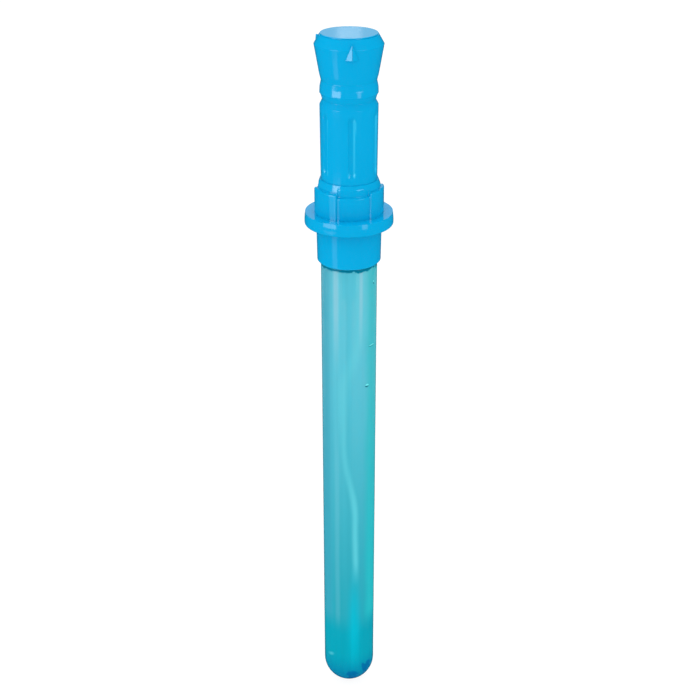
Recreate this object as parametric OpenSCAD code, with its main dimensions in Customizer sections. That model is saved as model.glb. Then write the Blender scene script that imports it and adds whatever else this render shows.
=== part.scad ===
// Bubble wand: a round-bottomed tube of bubble solution, and a ladder of ribbed loops
// that hangs inside it from a handle, whose screw cap closes the tube.
// Millimetres, +Z up along the tube, origin at the pole of the tube's round bottom.

/* [Tube] */
// Outside diameter of the tube
tube_d = 28; // [25:0.5:32]
// Wall of the tube
tube_wall = 1.1; // [0.8:0.1:1.6]
// Extra thickness at the pole of the round bottom
bottom_extra = 0.6; // [0:0.1:2]
// Height of the shoulder where the neck starts
shoulder_h = 260.5; // [220:0.5:300]

/* [Neck and screw thread] */
// Height of the neck from the shoulder to the rim
neck_h = 21.5; // [20:0.5:25]
// Radial step from the tube down to the neck
neck_step = 1.6; // [1.4:0.1:2]
// Wall of the neck
neck_wall = 1.3; // [1:0.1:1.6]
// Height of the sloping shoulder under the neck
shoulder_slope = 1.2; // [0.6:0.1:2]
// Rise of the thread in one turn
thread_pitch = 4; // [3.6:0.1:4.5]
// Turns of thread on the neck and in the cap
thread_turns = 1.5; // [1:0.25:1.75]
// Width of a thread ridge at its foot
thread_foot_w = 2.2; // [1.8:0.1:2.4]
// Width of a thread ridge at its crest
thread_crest_w = 1; // [0.6:0.1:1.2]
// Radial gap between a thread's crest and the wall that it faces
thread_gap = 0.35; // [0.25:0.05:0.5]
// Height of the neck's first ridge above the shoulder, to the ridge's middle
thread_start = 7; // [5:0.1:8]

/* [Screw cap] */
// Radial gap between the tube and the cap's bore
mouth_gap = 0.35; // [0.3:0.05:0.5]
// Wall of the skirt at its lower edge
skirt_wall = 1.4; // [1.2:0.1:2]
// Extra radius of the skirt where it meets the guard
skirt_draft = 0.3; // [0:0.1:0.6]
// Height of the skirt's lower edge above the shoulder
skirt_rise = 0.7; // [0.6:0.1:2]
// Thickness of the web that closes the cap
web_t = 1.8; // [1.4:0.1:2.5]
// Reach of the hand guard beyond the collar
guard_reach = 4.8; // [3:0.1:8]
// Thickness of the hand guard
guard_t = 6.2; // [5:0.1:8]
// Radius along the guard's upper rim
guard_round = 1; // [0.6:0.1:1.4]
// Height of the guard's top face above the web
guard_rise = 1.4; // [0.5:0.1:3]
// Wall of the guard over its hollow underside
guard_wall = 1.7; // [1.2:0.1:2.2]
// Number of stiffening ribs under the guard
guard_ribs = 12; // [6:1:18]

/* [Collar] */
// Height of the collar's lower tier above the guard
collar_h = 10.2; // [7:0.1:14]
// Radial step from the upper tier to the lower tier
collar_step = 1.75; // [1:0.05:2.5]
// Wall of the upper tier round the grip
tier_wall = 1.5; // [1.2:0.05:2.2]
// Height of the shoulder between the two tiers
collar_shoulder_h = 2.9; // [2:0.1:4]
// Height of the upper tier's straight wall
tier_h = 0.8; // [0.4:0.1:2]
// Height of the upper tier's sloping top
tier_slope_h = 3; // [2:0.1:4]
// Depth of the recessed panels round the collar
panel_depth = 0.9; // [0.4:0.05:1.2]
// Height of the recess's ledge above the lower tier's wall
panel_ledge_h = 1; // [0.4:0.1:1.6]
// Number of recessed panels, with as many raised ones between
panel_count = 3; // [2:1:5]

/* [Grip] */
// Outside diameter of the grip where it leaves the collar
grip_d = 27.3; // [25:0.1:29]
// Extra radius of the grip at its top
grip_draft = 0.3; // [0:0.05:0.6]
// Length of the grip above the collar
grip_len = 36; // [30:0.5:60]
// Number of flutes along the grip
flute_count = 6; // [4:1:8]
// Length of a flute
flute_len = 29.4; // [20:0.2:29.8]
// Radius of the flute's hollow
flute_r = 2.4; // [2:0.1:3]
// Depth of a flute
flute_depth = 0.85; // [0.5:0.05:1]
// Bore through the handle
grip_bore_d = 22.4; // [18:0.2:22.8]

/* [Pommel] */
// Height of the groove above the grip
groove_h = 5.4; // [4:0.1:7]
// Depth of the grooves above and below the bead
groove_depth = 1.3; // [0.8:0.05:1.5]
// Height of the bead
bead_h = 3.4; // [2:0.1:6]
// Height of the groove under the flare
neckline_h = 5.8; // [4:0.1:8]
// Height of the flare up to the widest line
flare_h = 13.8; // [10:0.1:20]
// Radial reach of the flare
flare_reach = 2.45; // [1.6:0.05:4]
// Height of the bevel above the widest line
bevel_h = 4.4; // [3:0.1:6]
// Radial reach of the bevel
bevel_reach = 2.5; // [1.5:0.05:3]
// Number of three-sided studs round the flare
stud_count = 3; // [3:1:6]
// Height of a stud
stud_h = 7.3; // [5:0.1:8.5]
// Drop from the pommel's top to a stud's tip
stud_drop = 1.6; // [1:0.1:3]
// Half of the width of a stud's foot
stud_half_w = 3.1; // [2:0.1:4]
// How far a stud's foot stands out beyond the widest line
stud_foot_out = 1.2; // [0.6:0.1:2]
// How far a stud's tip stands out beyond the widest line
stud_tip_out = 0.7; // [0.3:0.1:1.2]
// Depth of the root behind a stud's two faces
stud_root = 2.4; // [1.8:0.1:3]

/* [Pommel cap] */
// Thickness of the cap's disc
disc_t = 0.6; // [0.5:0.1:1.6]
// Inset of the disc from the bevel's edge
disc_inset = 0.3; // [0.2:0.05:0.8]
// Depth of the plug ring that holds the cap
plug_h = 6; // [4:0.1:9]
// Wall of the plug ring
plug_wall = 1.2; // [0.8:0.1:2]

/* [Washer] */
// Thickness of the sealing washer
washer_t = 1.5; // [1:0.1:2.5]

/* [Loop stick] */
// Height of the stick's tip above the tube's pole
tip_h = 36; // [25:0.5:45]
// Spacing of the loops
loop_pitch = 29; // [26:0.5:31]
// Radial gap between the loops and the neck's bore
loop_gap = 0.8; // [0.6:0.1:1.2]
// Width of a loop's rim
loop_rim = 1.7; // [1.4:0.1:2]
// Thickness of the stick
stick_t = 3.4; // [2.8:0.1:4]
// Depth of the ribs inside a loop
rib_depth = 0.8; // [0.5:0.1:1]
// Width of a rib
rib_w = 1.1; // [0.8:0.1:1.4]
// Number of ribs inside a loop
rib_count = 20; // [12:2:24]
// Shortest shank above the highest loop
shank_min = 20; // [15:0.5:24]
// Width of the shank
shank_w = 7; // [5:0.1:9]
// Radius of the stick's pin in the cap's socket
pin_r = 3.5; // [3:0.1:4]
// How far the snap bead stands out of the pin
snap_reach = 0.35; // [0.2:0.05:0.5]
// Depth of the socket for the stick
socket_h = 12; // [10:0.1:14]
// Wall of the socket
socket_wall = 1.85; // [1.4:0.05:2.2]

/* [Hidden] */

$fn = 96;
overrun = 1;
// Clearances between pieces of one assembly, and round what turns or slides
press_gap = 0.1;
turn_gap = 0.05;
slide_gap = 0.3;
// Facing of the pattern on each piece, in degrees from the front towards the right
panel_facing = 8.5;
flute_facing = 5;
stud_facing = 5;
// How far a thread ridge is rooted in its wall, and the share that is left of its depth
// at the two ends, where it fades out over a part of a turn
thread_root = 0.4;
thread_end_share = 0.1;
thread_fade_turns = 0.12;
thread_steps = 36;

tube_r = tube_d / 2;
tube_bore_r = tube_r - tube_wall;
neck_r = tube_r - neck_step;
neck_bore_r = neck_r - neck_wall;
rim_z = shoulder_h + neck_h;
seat_z = rim_z + washer_t;
web_top_z = seat_z + web_t;

cap_bore_r = tube_r + mouth_gap;
skirt_z = shoulder_h + skirt_rise;
skirt_low_r = cap_bore_r + skirt_wall;
skirt_top_r = skirt_low_r + skirt_draft;
neck_crest_r = cap_bore_r - thread_gap;
cap_crest_r = neck_r + thread_gap;
neck_thread_z = shoulder_h + thread_start;
cap_thread_z = neck_thread_z + thread_pitch / 2;

grip_low_r = grip_d / 2;
grip_top_r = grip_low_r + grip_draft;
grip_bore_r = grip_bore_d / 2;
tier_r = grip_low_r + press_gap + tier_wall;
collar_r = tier_r + collar_step;
guard_r = max(collar_r, skirt_top_r) + guard_reach;
guard_top_z = web_top_z + guard_rise;
guard_z = guard_top_z - guard_t;
collar_top_z = guard_top_z + collar_h;
tier_z = collar_top_z + collar_shoulder_h;
tier_top_z = tier_z + tier_h;
cap_top_z = tier_top_z + tier_slope_h;

grip_top_z = cap_top_z + grip_len;
bead_z = grip_top_z + groove_h;
bead_top_z = bead_z + bead_h;
flare_z = bead_top_z + neckline_h;
widest_z = flare_z + flare_h;
handle_top_z = widest_z + bevel_h;
groove_r = grip_top_r - groove_depth;
neckline_r = grip_top_r - groove_depth * 0.6;
widest_r = grip_top_r + flare_reach;
bevel_top_r = widest_r - bevel_reach;
disc_r = bevel_top_r - disc_inset;
plug_r = disc_r - plug_wall / 2;
pocket_z = handle_top_z - plug_h * 2;

socket_bore_r = pin_r + turn_gap;
socket_r = socket_bore_r + socket_wall;
socket_z = seat_z - socket_h;
stick_shoulder_z = socket_z - slide_gap;
stick_shoulder_t = stick_t / 2;
snap_z = seat_z - socket_h / 4;

washer_r = neck_r;
washer_bore_r = socket_r + slide_gap;

loop_r = neck_bore_r - loop_gap;
loop_hole_r = loop_r - loop_rim;
loop_straight = loop_pitch + loop_rim - 2 * loop_r;
shank_foot_z = stick_shoulder_z - stick_shoulder_t;
loop_count = floor((shank_foot_z - shank_min - tip_h - loop_rim) / loop_pitch);
ladder_top_z = tip_h + loop_count * loop_pitch + loop_rim;

// Points of a quarter round from directly outwards up to directly inwards
function quarter(r, z, reach, rise, steps = 8) =
    [for (i = [0 : steps]) [r + reach * cos(90 * i / steps), z + rise * sin(90 * i / steps)]];

// Share of a ridge's full depth at a share of its length, fading at both ends
function fade(along) =
    let (near_end = min(along, 1 - along) * thread_turns / thread_fade_turns)
    max(thread_end_share, min(1, near_end));

// A helical ridge that climbs anticlockwise. root_r lies in the wall, and crest_r stands
// out of it, outwards or inwards.
module thread_ridge(root_r, crest_r, start_z) {
    steps = ceil(thread_steps * thread_turns);
    rings = [for (i = [0 : steps])
        let (
            along = i / steps,
            turn = 360 * thread_turns * along,
            z = start_z + thread_pitch * thread_turns * along,
            reach_r = root_r + (crest_r - root_r) * fade(along)
        )
        for (corner = [
            [root_r, z - thread_foot_w / 2], [reach_r, z - thread_crest_w / 2],
            [reach_r, z + thread_crest_w / 2], [root_r, z + thread_foot_w / 2]
        ]) [corner[0] * cos(turn), corner[0] * sin(turn), corner[1]]
    ];
    sides = [for (i = [0 : steps - 1], j = [0 : 3])
        let (next = (j + 1) % 4, here = 4 * i, ahead = 4 * (i + 1))
        for (half = [
            [here + j, ahead + j, ahead + next], [here + j, ahead + next, here + next]
        ]) half
    ];
    last = 4 * steps;
    ends = [
        [0, 1, 2], [0, 2, 3],
        [last, last + 2, last + 1], [last, last + 3, last + 2]
    ];
    outward = [for (face = concat(sides, ends)) [face[2], face[1], face[0]]];
    polyhedron(rings, crest_r > root_r ? outward : concat(sides, ends));
}

// Tube with its round bottom, its neck and the neck's thread
module solution_tube() {
    color([0.36, 0.76, 0.84, 0.5]) difference() {
        union() {
            translate([0, 0, tube_r]) sphere(tube_r);
            translate([0, 0, tube_r]) cylinder(h = shoulder_h - tube_r, r = tube_r);
            translate([0, 0, shoulder_h])
                cylinder(h = shoulder_slope, r1 = tube_r, r2 = neck_r);
            translate([0, 0, shoulder_h]) cylinder(h = neck_h, r = neck_r);
            thread_ridge(neck_r - thread_root, neck_crest_r, neck_thread_z);
        }
        translate([0, 0, tube_r + bottom_extra]) sphere(tube_bore_r);
        translate([0, 0, tube_r + bottom_extra])
            cylinder(h = shoulder_h - tube_r - bottom_extra - shoulder_slope, r = tube_bore_r);
        translate([0, 0, shoulder_h - shoulder_slope])
            cylinder(h = shoulder_slope, r1 = tube_bore_r, r2 = neck_bore_r);
        translate([0, 0, shoulder_h - overrun])
            cylinder(h = neck_h + 2 * overrun, r = neck_bore_r);
    }
}

// Soft ring that lies on the tube's rim, under the cap's web and round its socket
module sealing_washer() {
    color([0.95, 0.96, 0.96]) translate([0, 0, rim_z]) difference() {
        cylinder(h = washer_t, r = washer_r);
        translate([0, 0, -overrun]) cylinder(h = washer_t + 2 * overrun, r = washer_bore_r);
    }
}

// Outline of a loop with straight sides and round ends
module loop_outline(r) {
    translate([0, loop_straight / 2]) circle(r);
    translate([0, -loop_straight / 2]) circle(r);
    square([2 * r, loop_straight], center = true);
}

// Place and turn of each rib round a loop's hole, which alternate between straight side
// and round end in proportion to their lengths
function rib_place(share) =
    let (
        arc = PI * loop_hole_r,
        round_share = arc / (2 * arc + 2 * loop_straight),
        side_share = 0.5 - round_share,
        half = share < 0.5 ? share : share - 0.5,
        on_side = half < side_share,
        climb = on_side ? (half / side_share - 0.5) * loop_straight : loop_straight / 2,
        turn = on_side ? 0 : 180 * (half - side_share) / round_share
    )
    share < 0.5 ? [climb, turn] : [-climb, turn + 180];

// One loop of the ladder, flat in X and Y, with ribs that hold the solution
module loop() {
    difference() {
        loop_outline(loop_r);
        loop_outline(loop_hole_r);
    }
    for (i = [0 : rib_count - 1]) {
        place = rib_place((i + 0.5) / rib_count);
        translate([0, place[0]]) rotate(place[1])
            translate([loop_hole_r - rib_depth, -rib_w / 2])
                square([rib_depth + loop_rim / 2, rib_w]);
    }
}

// Ladder of loops, its shank, and the pin that snaps into the cap's socket
module loop_stick() {
    color([0.3, 0.74, 0.92]) {
        translate([0, 0, tip_h + loop_r]) rotate([90, 0, 90])
            translate([0, loop_straight / 2, -stick_t / 2])
                linear_extrude(stick_t)
                    for (i = [0 : loop_count - 1]) translate([0, i * loop_pitch]) loop();
        translate([-stick_t / 2, -shank_w / 2, ladder_top_z - loop_rim])
            cube([stick_t, shank_w, shank_foot_z - ladder_top_z + loop_rim + stick_shoulder_t]);
        translate([-shank_w / 2, -stick_t / 2, ladder_top_z - loop_rim / 2])
            cube([shank_w, stick_t, shank_foot_z - ladder_top_z + loop_rim / 2]);
        translate([0, 0, shank_foot_z]) cylinder(h = stick_shoulder_t, r = socket_r);
        translate([0, 0, shank_foot_z])
            cylinder(h = seat_z - slide_gap - shank_foot_z, r = pin_r);
        translate([0, 0, snap_z]) rotate_extrude()
            translate([pin_r - snap_reach, 0]) circle(2 * snap_reach);
    }
}

// Outside of the cap from the skirt's edge up to the grip
module cap_outside() {
    edge = skirt_wall / 2;
    lip = guard_round;
    rotate_extrude() {
        polygon(concat(
            [[0, skirt_z], [skirt_low_r - edge, skirt_z], [skirt_low_r, skirt_z + edge],
                [skirt_top_r, guard_z + lip], [collar_r, guard_z + lip]],
            quarter(tier_r, collar_top_z, collar_step, collar_shoulder_h),
            [[tier_r, tier_top_z], [grip_low_r + press_gap + tier_wall / 4, cap_top_z],
                [0, cap_top_z]]
        ));
        translate([0, guard_z]) square([guard_r - lip, guard_t]);
        translate([0, guard_z + lip]) square([guard_r, guard_t - 2 * lip]);
        translate([guard_r - lip, guard_z + lip]) circle(lip);
        translate([guard_r - lip, guard_top_z - lip]) circle(lip);
    }
}

// Recessed panels between the raised ones round the collar
module collar_panels() {
    step = 360 / panel_count;
    ledge_z = collar_top_z + panel_ledge_h;
    for (i = [0 : panel_count - 1])
        rotate(panel_facing - 90 + i * step - step / 4)
            rotate_extrude(angle = step / 2) {
                translate([collar_r - panel_depth, guard_top_z])
                    square([panel_depth + overrun, ledge_z - guard_top_z]);
                translate([tier_r - panel_depth / 2, ledge_z])
                    square([collar_step + overrun, cap_top_z - collar_top_z]);
            }
}

// Hollow of the hand guard, open below, with ribs across it
module guard_hollow() {
    inner_r = skirt_top_r + guard_wall / 2;
    outer_r = guard_r - guard_wall;
    difference() {
        translate([0, 0, guard_z - overrun]) rotate_extrude()
            translate([inner_r, 0]) square([outer_r - inner_r, guard_t - guard_wall + overrun]);
        for (i = [0 : guard_ribs - 1]) rotate(i * 360 / guard_ribs)
            translate([inner_r - overrun, -guard_wall / 4, guard_z - 2 * overrun])
                cube([outer_r - inner_r + 2 * overrun, guard_wall / 2, guard_t + 3 * overrun]);
    }
}

// Screw cap with its skirt, thread, hand guard, stepped collar and stick socket
module screw_cap() {
    spigot_r = grip_bore_r - press_gap;
    cavity_r = tier_r - tier_wall / 2;
    color([0.01, 0.66, 0.89]) {
        difference() {
            cap_outside();
            translate([0, 0, skirt_z - overrun])
                cylinder(h = seat_z - skirt_z + overrun, r = cap_bore_r);
            guard_hollow();
            collar_panels();
            // Seat of the grip, and the hollow that keeps the collar's wall even
            difference() {
                union() {
                    translate([0, 0, web_top_z])
                        cylinder(h = cap_top_z - web_top_z + overrun, r = grip_low_r + press_gap);
                    translate([0, 0, web_top_z])
                        cylinder(h = collar_top_z - web_top_z, r = cavity_r);
                }
                translate([0, 0, web_top_z - overrun])
                    cylinder(h = collar_h + overrun, r = spigot_r);
            }
            translate([0, 0, web_top_z])
                cylinder(h = cap_top_z - web_top_z + overrun, r = spigot_r - web_t);
        }
        thread_ridge(cap_bore_r + thread_root, cap_crest_r, cap_thread_z);
        difference() {
            translate([0, 0, socket_z]) cylinder(h = socket_h + web_t / 2, r = socket_r);
            translate([0, 0, socket_z - overrun])
                cylinder(h = socket_h + overrun, r = socket_bore_r);
            translate([0, 0, snap_z]) rotate_extrude()
                translate([socket_bore_r - snap_reach, 0]) circle(2 * snap_reach + turn_gap);
        }
    }
}

// Outline of the handle from its foot on the cap's web up to the pommel's top
module handle_outline() {
    edge = bead_h / 8;
    polygon([
        [0, web_top_z], [grip_low_r, web_top_z], [grip_low_r, cap_top_z],
        [grip_top_r, grip_top_z], [groove_r, (grip_top_z + bead_z) / 2],
        [grip_top_r - edge, bead_z], [grip_top_r, bead_z + edge],
        [grip_top_r - edge / 3, bead_top_z],
        [neckline_r, (bead_top_z + flare_z) / 2], [grip_top_r, flare_z],
        [widest_r, widest_z], [bevel_top_r, handle_top_z], [0, handle_top_z]
    ]);
}

// One flute, a hollow with round ends along the front of the grip
module flute() {
    axis_r = (grip_low_r + grip_top_r) / 2 - flute_depth + flute_r;
    reach = sqrt(pow(flute_r, 2) - pow(flute_r - flute_depth, 2));
    middle_z = cap_top_z + grip_len / 2;
    straight = flute_len - 2 * reach;
    translate([axis_r, 0, middle_z - straight / 2]) {
        cylinder(h = straight, r = flute_r);
        sphere(flute_r);
        translate([0, 0, straight]) sphere(flute_r);
    }
}

// One three-sided stud. Its two faces meet in a ridge that looks outwards, its tip stands up
// past the widest line, and its root runs back into the flare and the bevel.
module stud() {
    tip_z = handle_top_z - stud_drop;
    foot_z = tip_z - stud_h;
    side_r = grip_top_r + flare_reach * (foot_z - flare_z) / flare_h;
    tip_r = widest_r + stud_tip_out;
    polyhedron(
        [
            [widest_r + stud_foot_out, 0, foot_z], [side_r, -stud_half_w, foot_z],
            [side_r, stud_half_w, foot_z], [tip_r, 0, tip_z],
            [side_r - stud_root, -stud_half_w, foot_z],
            [side_r - stud_root, stud_half_w, foot_z], [tip_r - stud_root, 0, tip_z]
        ],
        [
            [0, 1, 3], [0, 3, 2], [3, 1, 4, 6], [2, 3, 6, 5], [6, 4, 5], [0, 2, 5, 4, 1]
        ]
    );
}

// Hollow grip with its flutes, bead, flared pommel and studs
module handle_grip() {
    color([0.01, 0.66, 0.89]) difference() {
        union() {
            rotate_extrude() handle_outline();
            for (i = [0 : stud_count - 1])
                rotate(stud_facing - 90 + i * 360 / stud_count) stud();
        }
        translate([0, 0, web_top_z - overrun])
            cylinder(h = handle_top_z - web_top_z + 2 * overrun, r = grip_bore_r);
        translate([0, 0, pocket_z])
            cylinder(h = handle_top_z - pocket_z + overrun, r = plug_r + press_gap);
        for (i = [0 : flute_count - 1])
            rotate(flute_facing - 90 + i * 360 / flute_count) flute();
    }
}

// Disc that closes the pommel, with the ring that plugs into it
module pommel_cap() {
    edge = disc_t / 3;
    color([0.45, 0.84, 0.95]) translate([0, 0, handle_top_z]) rotate_extrude() {
        polygon([
            [0, 0], [disc_r, 0], [disc_r, disc_t - edge], [disc_r - edge, disc_t], [0, disc_t]
        ]);
        translate([plug_r - plug_wall, -plug_h]) square([plug_wall, plug_h + disc_t / 2]);
    }
}

solution_tube();
sealing_washer();
loop_stick();
screw_cap();
handle_grip();
pommel_cap();
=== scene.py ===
"""Looks of the bubble wand: its moulded handle, clear tube, solution and loop stick."""

import logging
import math
from collections.abc import Callable, Sequence
from dataclasses import dataclass
from enum import Enum

import bmesh
import bpy
import numpy as np
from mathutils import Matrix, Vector


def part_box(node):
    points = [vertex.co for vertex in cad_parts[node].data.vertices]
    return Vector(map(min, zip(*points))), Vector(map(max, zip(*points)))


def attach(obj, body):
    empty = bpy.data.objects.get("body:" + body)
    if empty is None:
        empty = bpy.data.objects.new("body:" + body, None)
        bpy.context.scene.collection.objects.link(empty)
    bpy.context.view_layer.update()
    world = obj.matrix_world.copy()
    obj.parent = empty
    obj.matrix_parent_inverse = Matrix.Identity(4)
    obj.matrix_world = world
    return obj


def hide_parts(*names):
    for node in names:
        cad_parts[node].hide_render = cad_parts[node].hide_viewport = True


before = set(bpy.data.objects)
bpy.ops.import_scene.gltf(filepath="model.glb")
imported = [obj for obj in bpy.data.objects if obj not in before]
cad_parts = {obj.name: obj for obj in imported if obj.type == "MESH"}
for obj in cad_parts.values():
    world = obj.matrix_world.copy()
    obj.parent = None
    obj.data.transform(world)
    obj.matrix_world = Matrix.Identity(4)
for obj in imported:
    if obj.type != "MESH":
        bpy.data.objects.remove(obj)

MM = 0.001
FULL_TURN = 2 * math.pi
# Edges turning by more than this stay sharp.
SMOOTH_ANGLE = math.radians(38)
# A corner turning by less than twice this, in radians, counts as straight.
STRAIGHT_ANGLE = 1e-4
# The most of a side that the arc of one corner takes.
ARC_SHARE = 0.48
# Points this close to the ends of a stretch longer than HOLD_LEAST keep it flat.
HOLD_GAP = 0.07 * MM
HOLD_LEAST = 6 * HOLD_GAP
# Points closer than this are merged, and lengths below NO_LENGTH count as none.
MERGE_GAP = 1e-7
NO_LENGTH = 1e-9
# Rounding of a slot's ends, as a part of half its width. At 1 the curve would break.
ROUND_END_SHARE = 0.999
WHITE = (1.0, 1.0, 1.0, 1.0)

log = logging.getLogger("bubble_wand")

# Radius, height and rounding of one corner of an outline, in metres.
Corner = tuple[float, float, float]
# Red, green and blue, 0 to 1.
Colour = tuple[float, float, float]
# How often a pattern repeats in a metre along X, Y and Z.
Scale = tuple[float, float, float]
# Two ends of a range.
Span = tuple[float, float]
# Points, one row each, and faces as lists of their numbers.
Shape = tuple[np.ndarray, list[list[int]]]
# Radii and heights, one row for each point of an outline and one column for each angle.
Grids = tuple[np.ndarray, np.ndarray]
Rings = Callable[[np.ndarray, np.ndarray], Grids]


class Body(Enum):
    """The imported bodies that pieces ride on."""

    TUBE = "tube"
    SEAL = "seal"
    WAND = "wand"
    HANDLE = "handle"


class Slot(Enum):
    """The record's material slots."""

    TUBE = "tube"
    WASHER = "washer"
    STICK = "stick"
    HANDLE = "handle"


class Wire:
    """One socket of a node tree, on which plain Python sums add Math nodes."""

    def __init__(self, bench: "Bench", socket: bpy.types.NodeSocket) -> None:
        """Keep the socket and the bench that its tree belongs to."""
        self.bench = bench
        self.socket = socket

    def _sum(self, operation: str, first: "Wire | float", second: "Wire | float") -> "Wire":
        """Add one Math node for an operation on two values or wires."""
        node = self.bench.node("ShaderNodeMath", {"operation": operation}, {0: first, 1: second})
        return Wire(self.bench, node.outputs[0])

    def __add__(self, other: "Wire | float") -> "Wire":
        """Return self + other."""
        return self._sum("ADD", self, other)

    __radd__ = __add__

    def __sub__(self, other: "Wire | float") -> "Wire":
        """Return self - other."""
        return self._sum("SUBTRACT", self, other)

    def __rsub__(self, other: "Wire | float") -> "Wire":
        """Return other - self."""
        return self._sum("SUBTRACT", other, self)

    def __mul__(self, other: "Wire | float") -> "Wire":
        """Return self * other."""
        return self._sum("MULTIPLY", self, other)

    __rmul__ = __mul__

    def __truediv__(self, other: "Wire | float") -> "Wire":
        """Return self / other."""
        return self._sum("DIVIDE", self, other)

    def __pow__(self, other: "Wire | float") -> "Wire":
        """Return self to the power of other."""
        return self._sum("POWER", self, other)

    def at_most(self, other: "Wire | float") -> "Wire":
        """Return the lesser of self and other."""
        return self._sum("MINIMUM", self, other)

    def at_least(self, other: "Wire | float") -> "Wire":
        """Return the greater of self and other."""
        return self._sum("MAXIMUM", self, other)

    def sine(self) -> "Wire":
        """Return the sine of self, in radians."""
        return self._sum("SINE", self, 0.0)

    def size(self) -> "Wire":
        """Return the absolute value of self."""
        return self._sum("ABSOLUTE", self, 0.0)

    def between(self, low: float, high: float) -> "Wire":
        """Add a smooth step.

        Args:
            low: Where the step starts.
            high: Where the step ends.

        Returns:
            0 where self is below low, 1 above high and a smooth step between them.
        """
        node = self.bench.node(
            "ShaderNodeMapRange", {"interpolation_type": "SMOOTHSTEP"},
            {"Value": self, "From Min": low, "From Max": high})
        return Wire(self.bench, node.outputs["Result"])


Number = Wire | float
Tint = Wire | Colour


class Bench:
    """Adds nodes to one node tree."""

    def __init__(self, tree: bpy.types.NodeTree) -> None:
        """Keep the tree."""
        self.tree = tree

    def node(self, kind: str, settings: dict[str, object] | None = None,
             inputs: dict[str | int, object] | None = None) -> bpy.types.Node:
        """Add one node.

        Args:
            kind: The node's type name.
            settings: Attributes to set first.
            inputs: Values, sockets or wires for its inputs, by name or number.

        Returns:
            The new node.
        """
        made = self.tree.nodes.new(kind)
        for key, value in (settings or {}).items():
            setattr(made, key, value)
        for key, value in (inputs or {}).items():
            source = value.socket if isinstance(value, Wire) else value
            if isinstance(source, bpy.types.NodeSocket):
                self.tree.links.new(source, made.inputs[key])
            else:
                made.inputs[key].default_value = source
        return made

    def wire(self, kind: str, settings: dict[str, object] | None = None,
             inputs: dict[str | int, object] | None = None, output: int | str = 0) -> Wire:
        """Add one node, as node() does, and return the wire of the named or numbered output."""
        return Wire(self, self.node(kind, settings, inputs).outputs[output])


class ShaderBench(Bench):
    """Builds one material, whose surface is a Principled shader."""

    def __init__(self, name: str) -> None:
        """Make the material with an empty tree.

        Args:
            name: The material's name.
        """
        self.material = bpy.data.materials.new(name)
        self.material.use_nodes = True
        super().__init__(self.material.node_tree)
        self.tree.nodes.clear()

    def places(self) -> Wire:
        """Return the wire of Object coordinates."""
        return self.wire("ShaderNodeTexCoord", output="Object")

    def stretched(self, scale: Scale) -> Wire:
        """Return Object coordinates scaled along each axis."""
        return self.wire("ShaderNodeMapping", {}, {"Vector": self.places(), "Scale": scale})

    def height(self) -> Wire:
        """Return the height above the tube's pole, in metres."""
        return self.wire("ShaderNodeSeparateXYZ", {}, {0: self.places()}, "Z")

    def stored(self, name: str) -> Wire:
        """Return the wire of a number that the piece's mesh stores under a name."""
        return self.wire("ShaderNodeAttribute", {"attribute_name": name}, {}, "Fac")

    def noise(self, scale: Scale, detail: float = 2.0, distortion: float = 0.0) -> Wire:
        """Add an even cloud pattern.

        Args:
            scale: How often its spots repeat in a metre along each axis.
            detail: How many finer patterns lie in it.
            distortion: How far it swirls.

        Returns:
            The pattern, 0 to 1.
        """
        return self.wire(
            "ShaderNodeTexNoise", {},
            {"Vector": self.stretched(scale), "Scale": 1.0, "Detail": detail,
             "Distortion": distortion}, "Fac")

    def mixed(self, share: Number, first: Tint, second: Tint) -> Wire:
        """Mix two colours.

        Args:
            share: How much of the second colour shows, 0 to 1.
            first: The first colour.
            second: The second colour.

        Returns:
            The mixed colour.
        """
        return self.wire(
            "ShaderNodeMix", {"data_type": "RGBA"},
            {0: share, 6: self._opaque(first), 7: self._opaque(second)}, 2)

    @staticmethod
    def _opaque(colour: Tint) -> Wire | tuple[float, ...]:
        """Give a plain colour its alpha of 1, and leave a wire alone."""
        return colour if isinstance(colour, Wire) else (*colour, 1.0)

    def bumped(self, height: Wire, depth: float) -> Wire:
        """Return a normal for a height pattern, 0 to 1, that is depth metres deep."""
        return self.wire("ShaderNodeBump", {}, {"Height": height, "Distance": depth}, "Normal")

    def finish(self, inputs: dict[str | int, object]) -> bpy.types.Material:
        """Add the Principled shader.

        Args:
            inputs: Values or wires for its inputs, by name.

        Returns:
            The finished material.
        """
        shader = self.node("ShaderNodeBsdfPrincipled", {}, inputs)
        self.node("ShaderNodeOutputMaterial", {}, {"Surface": shader.outputs[0]})
        return self.material


@dataclass(frozen=True)
class MouldedPlastic:
    """Opaque glossy plastic as it leaves a polished mould."""

    name: str
    colour: Colour
    deep_colour: Colour
    roughness: float = 0.08
    shine: float = 0.9
    # painted highlight: the paler colour stands in for light caught by the flutes' thin walls
    painted_highlight_colour: Colour = (0.05, 0.70, 1.0)
    cloud_scale: float = 55.0
    cloud_detail: float = 3.0
    cloud_span: Span = (0.3, 0.7)
    cloud_share: float = 0.5
    smear_roughness: float = 0.04
    skin_scale: float = 900.0
    skin_depth: float = 0.012 * MM

    def material(self) -> bpy.types.Material:
        """Build the material: a faint cloudiness, smears of gloss and a fine uneven skin.

        Returns:
            The material. Where the mesh stores "lip", it shows the paler painted highlight colour
            along the flutes' walls.
        """
        bench = ShaderBench(self.name)
        clouds = bench.noise((self.cloud_scale,) * 3, self.cloud_detail).between(*self.cloud_span)
        skin = bench.noise((self.skin_scale,) * 3)
        wide, tall = self.cloud_scale * 2, self.cloud_scale / 2
        smears = bench.noise((wide, wide, tall))
        tint = bench.mixed(clouds * self.cloud_share, self.colour, self.deep_colour)
        dull = smears * self.smear_roughness + (self.roughness - self.smear_roughness / 2)
        return bench.finish({
            # "lip" marks where a painted highlight is mixed into the colour
            "Base Color": bench.mixed(bench.stored("lip"), tint, self.painted_highlight_colour),
            "Roughness": dull,
            "Specular IOR Level": self.shine,
            "Normal": bench.bumped(skin, self.skin_depth),
        })


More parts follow.
